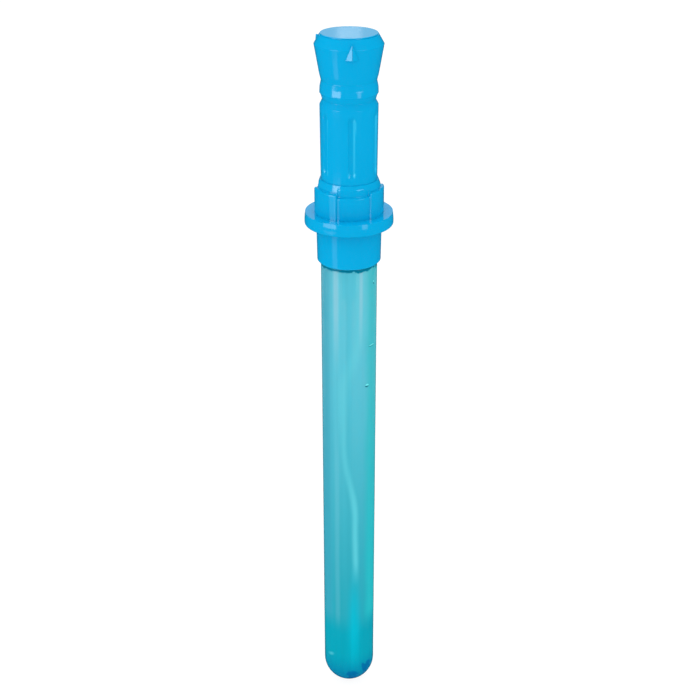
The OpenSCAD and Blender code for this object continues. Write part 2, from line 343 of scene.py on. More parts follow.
HANDLE_PLASTIC = MouldedPlastic("handle_plastic", (0.0, 0.42, 0.78), (0.0, 0.40, 0.75))
STICK_PLASTIC = MouldedPlastic(
    "stick_plastic", (0.14, 0.64, 0.80), (0.10, 0.58, 0.76), roughness=0.22)


@dataclass(frozen=True)
class Streak:
    """A soft upright streak in the tube's wall: a painted reflection of a lamp.

    Its middle and half width are parts of the tube's radius, and its waver says how much of the
    wall's own unevenness it follows.
    """

    middle: float
    half_width: float
    waver: float
    soft_edge: Span = (0.2, 1.0)

    def share(self, across: Wire, waver: Wire) -> Wire:
        """Return 1 in the streak's middle, fading to 0 at its sides."""
        off = (across - self.middle + waver * self.waver) / self.half_width
        return 1 - off.size().between(*self.soft_edge)


@dataclass(frozen=True)
class Spot:
    """A soft oval spot in the tube's wall.

    Its middle and half width are parts of the tube's radius. Its height above the pole and half
    height are in metres, and its slope is the rise across one radius.
    """

    middle: float
    height: float
    half_width: float
    half_height: float
    slope: float = 0.0

    def away(self, across: Wire, z: Wire) -> Wire:
        """Measure how far a place is from the spot.

        Args:
            across: Place across the tube, -1 at its left and 1 at its right.
            z: Height above the pole.

        Returns:
            0 in the spot's middle and 1 at its edge.
        """
        side = across - self.middle
        rise = z - (side * self.slope + self.height)
        return ((side / self.half_width) ** 2 + (rise / self.half_height) ** 2) ** 0.5

    def share(self, across: Wire, z: Wire) -> Wire:
        """Return 1 in the spot's middle, fading to 0 at its edge."""
        return 1 - self.away(across, z).between(0.0, 1.0)


@dataclass(frozen=True)
class Ribbon:
    """The pale ribbon of light that winds down the tube's front.

    It starts at top_place and shifts across below each bend. It ends in end_span, is dimmed
    above dim_span and is wider above wide_span.
    """

    top_place: float = 0.43
    bends: tuple[tuple[Span, float], ...] = (((0.190, 0.230), -0.65), ((0.115, 0.165), 0.47))
    end_span: Span = (0.07, 0.09)
    dim_span: Span = (0.12, 0.16)
    dimming: float = 0.45
    half_width: float = 0.2
    wide_span: Span = (0.165, 0.2)
    widening: float = 0.15
    waver_scale: Scale = (90.0, 90.0, 30.0)
    waver: float = 0.12

    def share(self, bench: ShaderBench, across: Wire, z: Wire) -> Wire:
        """Find how strongly the ribbon shows.

        Args:
            bench: The material's bench.
            across: Place across the tube, -1 at its left and 1 at its right.
            z: Height above the pole.

        Returns:
            1 in the middle of its strongest part and 0 beside it.
        """
        middle: Number = self.top_place
        for span, shift in self.bends:
            middle = (1 - z.between(*span)) * shift + middle
        waver = (bench.noise(self.waver_scale) - 0.5) * self.waver
        spread = z.between(*self.wide_span) * self.widening + self.half_width
        strength = z.between(*self.end_span) * (1 - z.between(*self.dim_span) * self.dimming)
        off = (across + waver - middle).size() / spread
        return (1 - off.between(0.0, 1.0)) * strength


@dataclass(frozen=True)
class ClearWall:
    """See-through plastic of the blown tube, tinted by the solution behind it.

    A Span is where something fades in: a height above the pole in metres, or a place across
    the tube, -1 at its left and 1 at its right. Only bottom_blend is in radii above the pole,
    and wall_blend in wall thicknesses from the outside.
    """

    name: str
    radius: float
    wall: float
    top_colour: Colour = (0.12, 0.67, 0.83)
    low_colour: Colour = (0.02, 0.42, 0.53)
    foot_colour: Colour = (0.0, 0.40, 0.53)
    right_side_shade: Colour = (0.02, 0.60, 0.66)
    left_side_shade: Colour = (0.05, 0.41, 0.56)
    pale: Colour = (0.16, 0.80, 0.90)
    painted_reflection_colour: Colour = (0.38, 0.72, 0.86)
    vivid: Colour = (0.0, 0.55, 0.72)
    painted_shadow_colour: Colour = (0.0, 0.20, 0.31)
    bottom_dark_colour: Colour = (0.0, 0.16, 0.41)
    neck_colour: Colour = (0.55, 0.82, 0.90)
    depth_span: Span = (0.03, 0.24)
    foot_span: Span = (0.038, 0.054)
    pole_span: Span = (0.002, 0.026)
    right_side_shade_span: Span = (0.5, 0.8)
    left_side_shade_span: Span = (0.48, 0.85)
    ribbon: Ribbon = Ribbon()
    left_painted_reflection: Streak = Streak(-0.46, 0.14, 0.4)
    left_reflection_span: Span = (0.200, 0.245)
    low_reflection_span: Span = (0.14, 0.19)
    right_painted_reflection: Streak = Streak(0.43, 0.10, 0.3)
    right_reflection_span: Span = (0.212, 0.245)
    pool: Spot = Spot(0.20, 0.046, 0.36, 0.048)
    glint: Spot = Spot(-0.72, 0.0225, 0.16, 0.0018, 0.008)
    blots: tuple[Spot, ...] = (Spot(0.14, 0.009, 0.22, 0.005), Spot(0.68, 0.013, 0.22, 0.005))
    blot_span: Span = (0.55, 1.1)
    blot_raggedness: float = 1.8
    waver_scale: Scale = (60.0, 60.0, 22.0)
    waver: float = 0.2
    speck_scale: Scale = (330.0, 330.0, 260.0)
    speck_detail: float = 3.0
    line_scale: Scale = (420.0, 420.0, 4.0)
    line_span: Span = (0.3, 0.7)
    line_depth: float = 0.006 * MM
    skirt_shadow_foot: Span = (0.2588, 0.2597)
    skirt_shadow_top: Span = (0.2608, 0.2616)
    skirt_shadow_side: Span = (-0.2, 0.3)
    skirt_shadow_raggedness: Span = (2 * MM, 8 * MM)
    neck_z: float = 0.2620
    neck_blend: float = 0.5 * MM
    neck_opacity: float = 0.38
    bottom_blend: Span = (0.9, 1.1)
    wall_blend: Span = (0.3, 0.7)
    opacity: float = 0.66
    opacity_span: Span = (0.02, 0.25)
    depth_opacity: float = 0.24
    edge_opacity: float = 0.3
    edge_power: int = 3
    line_opacity: float = 0.04
    skirt_shadow_opacity: float = 0.4
    least_opacity: float = 0.03
    roughness: float = 0.07
    shine: float = 0.35

    def material(self) -> bpy.types.Material:
        """Build the material: clear at the inside, tinted and streaked at the outside, with painted
        highlights, reflections and shade.

        Returns:
            The material.
        """
        bench = ShaderBench(self.name)
        axes = bench.node("ShaderNodeSeparateXYZ", {}, {0: bench.places()})
        x, y, z = (Wire(bench, axes.outputs[name]) for name in "XYZ")
        across = x / self.radius
        neck = z.between(self.neck_z - self.neck_blend, self.neck_z + self.neck_blend)
        lines = bench.noise(self.line_scale).between(*self.line_span)
        rim = self._skirt_shadow(bench, across, z)
        facing = bench.wire("ShaderNodeLayerWeight", {}, {"Blend": 0.5}, "Facing")
        edge = facing ** self.edge_power
        depth = 1 - z.between(*self.opacity_span)
        opacity = (depth * self.depth_opacity + self.opacity + edge * self.edge_opacity
                   + (lines - 0.5) * self.line_opacity + rim * self.skirt_shadow_opacity)
        opacity = opacity * (1 - neck) + neck * self.neck_opacity
        clear = 1 - self._inside((x * x + y * y) ** 0.5, z) * (1 - neck)
        return bench.finish({
            "Base Color": bench.mixed(neck, self._tint(bench, across, z, rim), self.neck_colour),
            "Roughness": self.roughness,
            "Specular IOR Level": self.shine,
            "Alpha": (opacity.at_most(1.0) * clear).at_least(self.least_opacity),
            "Normal": bench.bumped(lines, self.line_depth),
        })

    def _inside(self, out: Wire, z: Wire) -> Wire:
        """Return 1 on the wall's inside, above the round bottom, and 0 on its outside."""
        sides = z.between(*(self.radius * part for part in self.bottom_blend))
        return (self.radius - out).between(*(self.wall * part for part in self.wall_blend)) * sides

    def _tint(self, bench: ShaderBench, across: Wire, z: Wire, rim: Wire) -> Wire:
        """Lay the colours over each other: paler above, painted teal and blue shading at the sides,
        then painted highlights and reflections, a painted shadow under the skirt and darker blots
        low down.

        Args:
            bench: The material's bench.
            across: Place across the tube, -1 at its left and 1 at its right.
            z: Height above the pole.
            rim: Strength of the painted shadow line under the cap's skirt.

        Returns:
            The colour's wire.
        """
        waver = (bench.noise(self.waver_scale) - 0.5) * self.waver
        specks = (bench.noise(self.speck_scale, self.speck_detail) - 0.5) * self.blot_raggedness
        above = z.between(*self.foot_span)
        left = self.left_painted_reflection.share(across, waver)
        right = self.right_painted_reflection.share(across, waver)
        blots: Number = 0.0
        for blot in self.blots:
            blots = 1 - (blot.away(across, z) + specks).between(*self.blot_span) + blots
        # Each layer is where it lies, how strong it is at most, and its colour.
        layers = (
            (1 - z.between(*self.depth_span), 1.0, self.low_colour),
            # painted shading: darker teal towards the right side and darker blue towards the left
            # side of the round tube
            ((across + waver).between(*self.right_side_shade_span) * above, 0.75, self.right_side_shade),
            ((waver * 0.5 - across).between(*self.left_side_shade_span) * above, 0.7, self.left_side_shade),
            (self.ribbon.share(bench, across, z) * above, 0.6, self.pale),
            # painted reflections: pale streaks of the lamps near the tube's top, the left one faint
            # lower down
            (left * z.between(*self.left_reflection_span), 0.55, self.painted_reflection_colour),
            (left * (1 - z.between(*self.low_reflection_span)) * above, 0.1, self.painted_reflection_colour),
            (right * z.between(*self.right_reflection_span), 0.5, self.painted_reflection_colour),
            (1 - above, 0.9, self.foot_colour),
            (self.pool.share(across, z), 0.9, self.vivid),
            # darker towards the pole of the round bottom
            (1 - z.between(*self.pole_span), 0.75, self.bottom_dark_colour),
            (self.glint.share(across, z), 0.4, self.pale),
            # painted shadow: a dark ragged line where the cap's skirt shades the tube
            (rim, 1.0, self.painted_shadow_colour),
            # dark blue blots near the bottom
            (blots.at_most(0.85), 1.0, self.bottom_dark_colour),
        )
        tint: Tint = self.top_colour
        for place, strength, colour in layers:
            tint = bench.mixed(place * strength, tint, colour)
        return tint

    def _skirt_shadow(self, bench: ShaderBench, across: Wire, z: Wire) -> Wire:
        """Find the painted shadow line under the cap's skirt, more ragged at the right.

        Args:
            bench: The material's bench.
            across: Place across the tube, -1 at its left and 1 at its right.
            z: Height above the pole.

        Returns:
            1 on the line and 0 off it.
        """
        specks = bench.noise(self.speck_scale, self.speck_detail) - 0.5
        least, most = self.skirt_shadow_raggedness
        ragged = across.between(*self.skirt_shadow_side) * (most - least) + least
        line = (z + specks * ragged).between(*self.skirt_shadow_foot)
        return line * (1 - z.between(*self.skirt_shadow_top))


@dataclass(frozen=True)
class BubbleSolution:
    """Coloured soapy liquid, paler at the top and deeper towards the bottom."""

    name: str
    top_z: float
    colour: Colour = (0.10, 0.62, 0.76)
    low_colour: Colour = (0.0, 0.40, 0.53)
    swirl_colour: Colour = (0.55, 0.9, 0.95)
    depth_span: Span = (0.15, 0.9)
    swirl_scale: Scale = (60.0, 60.0, 14.0)
    swirl_distortion: float = 1.5
    swirl_span: Span = (0.35, 0.7)
    swirl_share: float = 0.12
    opacity: float = 0.45
    depth_opacity: float = 0.25
    roughness: float = 0.05
    shine: float = 0.2

    def material(self) -> bpy.types.Material:
        """Build the material, with slow soapy swirls.

        Returns:
            The material.
        """
        bench = ShaderBench(self.name)
        depth = 1 - (bench.height() / self.top_z)
        swirls = bench.noise(self.swirl_scale, distortion=self.swirl_distortion)
        swirls = swirls.between(*self.swirl_span) * self.swirl_share
        tint = bench.mixed(depth.between(*self.depth_span), self.colour, self.low_colour)
        return bench.finish({
            "Base Color": bench.mixed(swirls, tint, self.swirl_colour),
            "Roughness": self.roughness,
            "Specular IOR Level": self.shine,
            "Alpha": (depth * self.depth_opacity + self.opacity).at_most(1.0),
        })


@dataclass(frozen=True)
class FoamLiner:
    """Soft closed-cell foam of the sealing washer."""

    name: str = "foam_liner"
    colour: Colour = (0.86, 0.88, 0.88)
    hollow_shade_colour: Colour = (0.6, 0.63, 0.64)
    hollow_shade_share: float = 0.3
    cell_scale: float = 2400.0
    cell_span: Span = (0.0, 0.8)
    cell_depth: float = 0.06 * MM
    roughness: float = 0.7
    cell_roughness: float = 0.1

    def material(self) -> bpy.types.Material:
        """Build the material: small cells, darker in their hollows.

        Returns:
            The material.
        """
        bench = ShaderBench(self.name)
        cells = bench.wire(
            "ShaderNodeTexVoronoi", {},
            {"Vector": bench.places(), "Scale": self.cell_scale}, "Distance")
        # painted shade in the foam cells' hollows
        hollow_shade = cells.between(*self.cell_span) * self.hollow_shade_share
        return bench.finish({
            "Base Color": bench.mixed(hollow_shade, self.colour, self.hollow_shade_colour),
            "Roughness": cells * self.cell_roughness + self.roughness,
            "Normal": bench.bumped(cells, self.cell_depth),
        })


@dataclass(frozen=True)
class WaterDrop:
    """A small bead of liquid on the tube's wall, with a painted highlight above and painted shade
    below.
    """

    name: str = "water_drop"
    drop_highlight_colour: Colour = (0.16, 0.82, 0.86)
    drop_shade_colour: Colour = (0.0, 0.18, 0.26)
    shade_span: Span = (0.35, 0.7)
    grain_scale: float = 1500.0
    grain_share: float = 0.2
    opacity: float = 0.8
    shade_opacity: float = 0.15
    roughness: float = 0.05
    shine: float = 0.5

    def material(self) -> bpy.types.Material:
        """Build the material from the "lift" that the drops' mesh stores: a painted highlight high
        on each drop and painted shade low on it.

        Returns:
            The material.
        """
        bench = ShaderBench(self.name)
        grain = bench.noise((self.grain_scale,) * 3, 1.0) - 0.5
        shade = (bench.stored("lift") + grain * self.grain_share).between(*self.shade_span)
        return bench.finish({
            "Base Color": bench.mixed(shade, self.drop_shade_colour, self.drop_highlight_colour),
            "Roughness": self.roughness,
            "Specular IOR Level": self.shine,
            "Alpha": shade * self.shade_opacity + self.opacity,
        })


def rounded(corners: Sequence[Corner], closed: bool = False, steps: int = 6) -> np.ndarray:
    """Round the corners of an outline with arcs.

    Args:
        corners: The outline's corners.
        closed: True if the last corner joins the first.
        steps: Number of steps in each arc.

    Returns:
        The outline's points, one row of radius and height each.
    """
    count = len(corners)
    points: list[np.ndarray] = []
    for i, (r, z, rounding) in enumerate(corners):
        here = np.array((r, z))
        if rounding <= 0 or (not closed and i in (0, count - 1)):
            points.append(here)
            continue
        back = np.array(corners[i - 1][:2]) - here
        ahead = np.array(corners[(i + 1) % count][:2]) - here
        back_length, ahead_length = np.linalg.norm(back), np.linalg.norm(ahead)
        back, ahead = back / back_length, ahead / ahead_length
        half_angle = math.acos(np.clip(back @ ahead, -1, 1)) / 2
        if half_angle > math.pi / 2 - STRAIGHT_ANGLE:
            points.append(here)
            continue
        room = ARC_SHARE * min(back_length, ahead_length)
        reach = min(rounding / math.tan(half_angle), room)
        radius = reach * math.tan(half_angle)
        inward = (back + ahead) / np.linalg.norm(back + ahead)
        middle = here + inward * radius / math.sin(half_angle)
        first, last = here + back * reach - middle, here + ahead * reach - middle
        sweep = math.pi - 2 * half_angle
        for step in range(steps + 1):
            share = step / steps
            a = math.sin((1 - share) * sweep) / math.sin(sweep)
            b = math.sin(share * sweep) / math.sin(sweep)
            points.append(middle + first * a + last * b)
    return np.array(points)


def refined(points: np.ndarray, longest: float) -> np.ndarray:
    """Split an outline's long stretches.

    Args:
        points: The outline's points.
        longest: Longest stretch to leave, in metres.

    Returns:
        The outline with more points.
    """
    result: list[np.ndarray] = []
    for start, end in zip(points[:-1], points[1:]):
        pieces = max(1, math.ceil(float(np.linalg.norm(end - start)) / longest))
        result.extend(start + (end - start) * i / pieces for i in range(pieces))
    return np.array([*result, points[-1]])


def held(points: np.ndarray, every: bool = False) -> np.ndarray:
    """Add a point close to both ends of each long stretch, so that flat walls shade flat.

    Args:
        points: The outline's points.
        every: True to split short stretches too, so that like outlines get equally many points.

    Returns:
        The outline with more points.
    """
    result: list[np.ndarray] = []
    for start, end in zip(points[:-1], points[1:]):
        result.append(start)
        length = float(np.linalg.norm(end - start))
        if every or length > HOLD_LEAST:
            gap = min(HOLD_GAP, length / 4)
            step = (end - start) * gap / max(length, NO_LENGTH)
            result.extend([start + step, end - step])
    return np.array([*result, points[-1]])


def blended_least(first: np.ndarray, second: np.ndarray, width: float) -> np.ndarray:
    """Return the lesser of two arrays, with a round blend of a given width where they cross."""
    share = np.clip(0.5 + 0.5 * (second - first) / width, 0, 1)
    return second * (1 - share) + first * share - width * share * (1 - share)


def bell(values: np.ndarray, middle: float, width: float) -> np.ndarray:
    """Return a smooth hump over values, 1 at its middle."""
    return np.exp(-((values - middle) / width) ** 2)


def from_nearest(values: np.ndarray, first: float, step: float) -> np.ndarray:
    """Return how far values lie from the nearest of evenly spaced places, first among them."""
    return (values - first + step / 2) % step - step / 2


def even_angles(count: int) -> np.ndarray:
    """Return angles evenly round the axis, in radians from +X."""
    return np.arange(count) * FULL_TURN / count


def spaced_angles(step: float, middles: np.ndarray, near: np.ndarray) -> np.ndarray:
    """Space angles round the axis, closer together at some places.

    Args:
        step: The even spacing, in degrees.
        middles: The places, in degrees from +X.
        near: Extra angles about each place, in degrees.

    Returns:
        All angles in order, in radians from +X.
    """
    even = np.arange(0, 360, step)
    extra = np.add.outer(middles, near).ravel() % 360
    return np.radians(np.unique(np.round(np.concatenate([even, extra]), 3)))


def mesh_object(name: str, points: np.ndarray, faces: Sequence[Sequence[int]],
                material: bpy.types.Material) -> bpy.types.Object:
    """Make a mesh object with outward faces and smooth shading.

    Args:
        name: The piece's name.
        points: Its vertices.
        faces: Its faces, as vertex numbers.
        material: Its material.

    Returns:
        The object, linked to the scene.
    """
    mesh = bpy.data.meshes.new(name)
    mesh.from_pydata(points.tolist(), [], [list(face) for face in faces])
    return linked(name, mesh, material)


def linked(name: str, mesh: bpy.types.Mesh, material: bpy.types.Material) -> bpy.types.Object:
    """Merge a mesh's doubled points, turn its faces outward and link it to the scene.

    Args:
        name: The piece's name.
        mesh: Its mesh.
        material: Its material.

    Returns:
        The object, shaded smooth up to SMOOTH_ANGLE.
    """
    work = bmesh.new()
    work.from_mesh(mesh)
    bmesh.ops.remove_doubles(work, verts=work.verts, dist=MERGE_GAP)
    bmesh.ops.recalc_face_normals(work, faces=work.faces)
    work.to_mesh(mesh)
    work.free()
    mesh.materials.clear()
    mesh.materials.append(material)
    mesh.polygons.foreach_set("use_smooth", [True] * len(mesh.polygons))
    mesh.set_sharp_from_angle(angle=SMOOTH_ANGLE)
    made = bpy.data.objects.new(name, mesh)
    bpy.context.scene.collection.objects.link(made)
    return made


def store(piece: bpy.types.Object, name: str, values: Sequence[float] | np.ndarray) -> None:
    """Store one number for each point of a piece under a name, for its material to read."""
    stored = piece.data.attributes.new(name, "FLOAT", "POINT")
    stored.data.foreach_set("value", np.asarray(values, dtype=np.float32))


def gathered(shapes: Sequence[Shape]) -> Shape:
    """Put several shapes into one.

    Args:
        shapes: The shapes, each with its own points and faces.

    Returns:
        All points and all faces.
    """
    faces: list[list[int]] = []
    start = 0
    for points, sides in shapes:
        faces.extend([corner + start for corner in side] for side in sides)
        start += len(points)
    return np.vstack([points for points, _ in shapes]), faces


def plain_rings(outline: np.ndarray, angles: np.ndarray) -> Grids:
    """Return an outline's radii and heights at each angle, all alike."""
    ones = np.ones((1, len(angles)))
    return outline[:, :1] * ones, outline[:, 1:] * ones


def turned(name: str, outline: np.ndarray, closed: bool, material: bpy.types.Material,
           angles: np.ndarray, rings: Rings = plain_rings) -> bpy.types.Object:
    """Turn an outline round the Z axis.

    Args:
        name: The piece's name.
        outline: Points of radius and height. An open outline starts and ends on the axis.
        closed: True if the last point joins the first.
        material: The piece's material.
        angles: Angles of the columns, in radians.
        rings: Gives the radii and heights of every point at every angle.

    Returns:
        The turned piece.
    """
    radii, heights = rings(outline, angles)
    rows, columns = radii.shape
    points = np.stack([radii * np.cos(angles), radii * np.sin(angles), heights], axis=-1)
    last_row = rows if closed else rows - 1
    faces = []
    for i in range(last_row):
        for j in range(columns):
            k, n = (j + 1) % columns, (i + 1) % rows
            faces.append((i * columns + j, i * columns + k, n * columns + k, n * columns + j))
    return mesh_object(name, points.reshape(-1, 3), without_repeats(points, faces), material)


def without_repeats(points: np.ndarray, faces: Sequence[Sequence[int]]) -> list[list[int]]:
    """Drop corners that lie on the same point of the axis, so that poles close with triangles.

    Args:
        points: A grid of points, one row for each point of the outline.
        faces: Faces as numbers of these points.

    Returns:
        The faces that are left, without the repeated corners.
    """
    flat = points.reshape(-1, 3)
    columns = points.shape[1]
    on_axis = np.hypot(flat[:, 0], flat[:, 1]) < NO_LENGTH
    result = []
    for face in faces:
        kept: list[int] = []
        for corner in face:
            number = corner - corner % columns if on_axis[corner] else corner
            if number not in kept:
                kept.append(number)
        if len(kept) > 2:
            result.append(kept)
    return result


def bar(name: str, low: Vector, high: Vector, edge: float,
        material: bpy.types.Material) -> bpy.types.Object:
    """Make a straight bar with rounded edges.

    Args:
        name: The piece's name.
        low: Its lowest corner.
        high: Its highest corner.
        edge: Rounding of its edges, in metres.
        material: Its material.

    Returns:
        The bar.
    """
    work = bmesh.new()
    bmesh.ops.create_cube(work, size=1.0)
    middle, size = (low + high) / 2, high - low
    for vertex in work.verts:
        vertex.co = Vector(m + c * s for m, c, s in zip(middle, vertex.co, size))
    bmesh.ops.bevel(work, geom=work.edges[:], offset=edge, segments=3, affect="EDGES", profile=0.5)
    mesh = bpy.data.meshes.new(name)
    work.to_mesh(mesh)
    work.free()
    return linked(name, mesh, material)


class GeometryBench(Bench):
    """Builds one Geometry Nodes tree with named sizes and bakes its result."""

    def __init__(self, name: str, sizes: dict[str, float | int]) -> None:
        """Make the tree with one input for each size.

        Args:
            name: The tree's name.
            sizes: The values of its inputs, by name. A whole number makes a whole-number input.
        """
        super().__init__(bpy.data.node_groups.new(name, "GeometryNodeTree"))
        self.sizes = sizes
        sockets = self.tree.interface
        for size, value in sizes.items():
            kind = "NodeSocketInt" if isinstance(value, int) else "NodeSocketFloat"
            sockets.new_socket(size, in_out="INPUT", socket_type=kind)
        sockets.new_socket("Geometry", in_out="OUTPUT", socket_type="NodeSocketGeometry")
        self.start = self.tree.nodes.new("NodeGroupInput")

    def size(self, name: str) -> Wire:
        """Return the wire of one named size."""
        return Wire(self, self.start.outputs[name])

    def vector(self, x: Number = 0.0, y: Number = 0.0, z: Number = 0.0) -> Wire:
        """Return a vector of three values or wires."""
        return self.wire("ShaderNodeCombineXYZ", {}, {0: x, 1: y, 2: z})

    def soft_rectangle(self, width: Wire, height: Wire, edge: Wire, steps: int = 3) -> Wire:
        """Add a rectangle with rounded corners.

        Args:
            width: Its size along X.
            height: Its size along Y.
            edge: Rounding of its corners.
            steps: Number of steps in each corner.

        Returns:
            The closed curve.
        """
        plain = self.wire(
            "GeometryNodeCurvePrimitiveQuadrilateral", {"mode": "RECTANGLE"},
            {"Width": width, "Height": height})
        return self.wire(
            "GeometryNodeFilletCurve", {"mode": "POLY"},
            {"Curve": plain, "Count": steps, "Radius": edge, "Limit Radius": True})

    def slot_curve(self, radius: Wire, straight: Wire, steps: int) -> Wire:
        """Return a closed curve with straight sides along Y and almost half-round ends."""
        width = radius * 2
        return self.soft_rectangle(width, width + straight, radius * ROUND_END_SHARE, steps)

    def swept(self, curve: Wire, profile: Wire) -> Wire:
        """Sweep a profile along a curve.

        Args:
            curve: The path.
            profile: The closed profile.

        Returns:
            The solid.
        """
        return self.wire(
            "GeometryNodeCurveToMesh", {},
            {"Curve": curve, "Profile Curve": profile, "Fill Caps": True})

    def copied(self, points: Wire, shape: Wire,
               rotation: Wire | tuple[float, float, float] = (0.0, 0.0, 0.0)) -> Wire:
        """Set a copy of a shape on each point.

        Args:
            points: Where the copies go.
            shape: The shape.
            rotation: How each copy is turned.

        Returns:
            The copies.
        """
        return self.wire(
            "GeometryNodeInstanceOnPoints", {},
            {"Points": points, "Instance": shape, "Rotation": rotation})

    def joined(self, *parts: Wire) -> Wire:
        """Join several geometries.

        Args:
            parts: The geometries.

        Returns:
            All of them as one.
        """
        node = self.node("GeometryNodeJoinGeometry")
        for part in parts:
            self.tree.links.new(part.socket, node.inputs[0])
        return Wire(self, node.outputs[0])

    def bake(self, name: str, geometry: Wire, material: bpy.types.Material) -> bpy.types.Object:
        """Realize a geometry and turn it into a plain mesh object.

        Args:
            name: The piece's name.
            geometry: What the tree makes.
            material: The piece's material.

        Returns:
            The piece, with no modifier left.
        """
        real = self.wire("GeometryNodeRealizeInstances", {}, {"Geometry": geometry})
        dressed = self.wire("GeometryNodeSetMaterial", {}, {"Geometry": real, "Material": material})
        self.node("NodeGroupOutput", {}, {0: dressed})
        holder = bpy.data.objects.new(name + "_holder", bpy.data.meshes.new(name + "_holder"))
        bpy.context.scene.collection.objects.link(holder)
        modifier = holder.modifiers.new(name, "NODES")
        modifier.node_group = self.tree
        for item in self.tree.interface.items_tree:
            if item.in_out == "INPUT":
                modifier[item.identifier] = self.sizes[item.name]
        graph = bpy.context.evaluated_depsgraph_get()
        graph.update()
        mesh = bpy.data.meshes.new_from_object(holder.evaluated_get(graph))
        bpy.data.objects.remove(holder)
        return linked(name, mesh, material)


@dataclass(frozen=True)
class Ridge:
    """One turn-and-a-half screw ridge on a round wall.

    Each of its four lines says how much of the ridge's depth it stands out, which width it
    belongs to and on which side it lies, -1 below and 1 above.
    """

    name: str
    root_r: float
    crest_r: float
    start_z: float
    pitch: float = 4 * MM
    turns: float = 1.5
    foot_w: float = 2.2 * MM
    crest_w: float = 1 * MM
    fade_turns: float = 0.12
    least_share: float = 0.1
    steps: int = 108
    lines: tuple[tuple[int, str, int], ...] = (
        (0, "Foot width", -1), (0, "Foot width", 1),
        (1, "Crest width", 1), (1, "Crest width", -1))

    def build(self, material: bpy.types.Material) -> bpy.types.Object:
        """Lay the ridge's lines along its helix, shallower at both ends, and skin them.

        Args:
            material: The piece's material.

        Returns:
            The ridge.
        """
        bench = GeometryBench(self.name, {
            "Root radius": self.root_r, "Depth": self.crest_r - self.root_r,
            "Pitch": self.pitch, "Turns": self.turns, "Foot width": self.foot_w,
            "Crest width": self.crest_w, "Start height": self.start_z, "Steps": self.steps})
        along = bench.wire("GeometryNodeSplineParameter", output="Factor")
        to_end = along.at_most(1 - along) * bench.size("Turns")
        share = (to_end / self.fade_turns).at_most(1.0).at_least(self.least_share)
        strip = bench.wire(
            "GeometryNodeMeshLine", {"mode": "OFFSET"},
            {"Count": bench.size("Steps"), "Offset": (0.0, 0.0, MM)})
        path = bench.wire("GeometryNodeMeshToCurve", {}, {"Mesh": strip})
        turn = along * bench.size("Turns") * FULL_TURN
        climb = along * bench.size("Turns") * bench.size("Pitch") + bench.size("Start height")
        cosine = (turn + math.pi / 2).sine()
        lines = []
        for out, width, side in self.lines:
            radius = bench.size("Root radius") + bench.size("Depth") * share * out
            place = bench.vector(
                radius * cosine, radius * turn.sine(), climb + bench.size(width) * (side / 2))
            line = bench.wire("GeometryNodeSetPosition", {}, {"Geometry": path, "Position": place})
            lines.append(bench.wire("GeometryNodeCurveToMesh", {}, {"Curve": line}))
        return self._skinned(bench, lines, material)

    def _skinned(self, bench: GeometryBench, lines: list[Wire],
                 material: bpy.types.Material) -> bpy.types.Object:
        """Bake the four lines and skin them with faces.

        Args:
            bench: The ridge's tree.
            lines: The lines, in order round the ridge.
            material: The piece's material.

        Returns:
            The ridge.
        """
        baked = bench.bake(self.name + "_lines", bench.joined(*lines), material)
        places = np.array([vertex.co for vertex in baked.data.vertices])
        bpy.data.meshes.remove(baked.data)
        starts = [i * self.steps for i in range(len(lines))]
        sides = zip(starts, starts[1:] + starts[:1])
        faces = [(a + i, b + i, b + i + 1, a + i + 1) for a, b in sides
                 for i in range(self.steps - 1)]
        ends = [starts, [start + self.steps - 1 for start in starts]]
        return mesh_object(self.name, places, [*faces, *ends], material)


@dataclass(frozen=True)
class Drop:
    """One flat drop of liquid on the outside of the tube's wall.

    Its azimuth is in degrees, from the front to the right. Its lean says how much of its light
    comes from the right.
    """

    azimuth: float
    z: float
    width: float
    height: float
    lean: float = 0.2
    thickness: float = 0.3 * MM
    sunk: float = 0.05 * MM
    rings: int = 6
    columns: int = 20

    def place(self, radius: float) -> Vector:
        """Return the drop's middle on a wall of a given radius."""
        turn = math.radians(self.azimuth - 90)
        return Vector((radius * math.cos(turn), radius * math.sin(turn), self.z))

    def shape(self, radius: float) -> Shape:
        """Shape the drop as a low dome with its foot in the wall.

        Args:
            radius: The wall's radius, in metres.

        Returns:
            Its points and faces.
        """
        points = []
        for i in range(self.rings + 1):
            tilt = math.pi / 2 * i / self.rings
            out = radius - self.sunk + self.thickness * math.sin(tilt)
            for turn in even_angles(self.columns):
                across = self.width / 2 * math.cos(tilt) * math.cos(turn)
                up = self.height / 2 * math.cos(tilt) * math.sin(turn)
                angle = math.radians(self.azimuth - 90) + across / radius
                points.append((out * math.cos(angle), out * math.sin(angle), self.z + up))
        faces = [list(range(self.columns))]
        for i in range(self.rings):
            a, b = i * self.columns, (i + 1) * self.columns
            for j in range(self.columns):
                k = (j + 1) % self.columns
                faces.append([a + j, a + k, b + k, b + j])
        return np.array(points), faces

    def lift(self, away: Vector) -> float:
        """Return how high a point lies on the drop, 0 to 1, and a little more at the right."""
        return 0.5 + away.z / self.height + self.lean * away.x / self.width


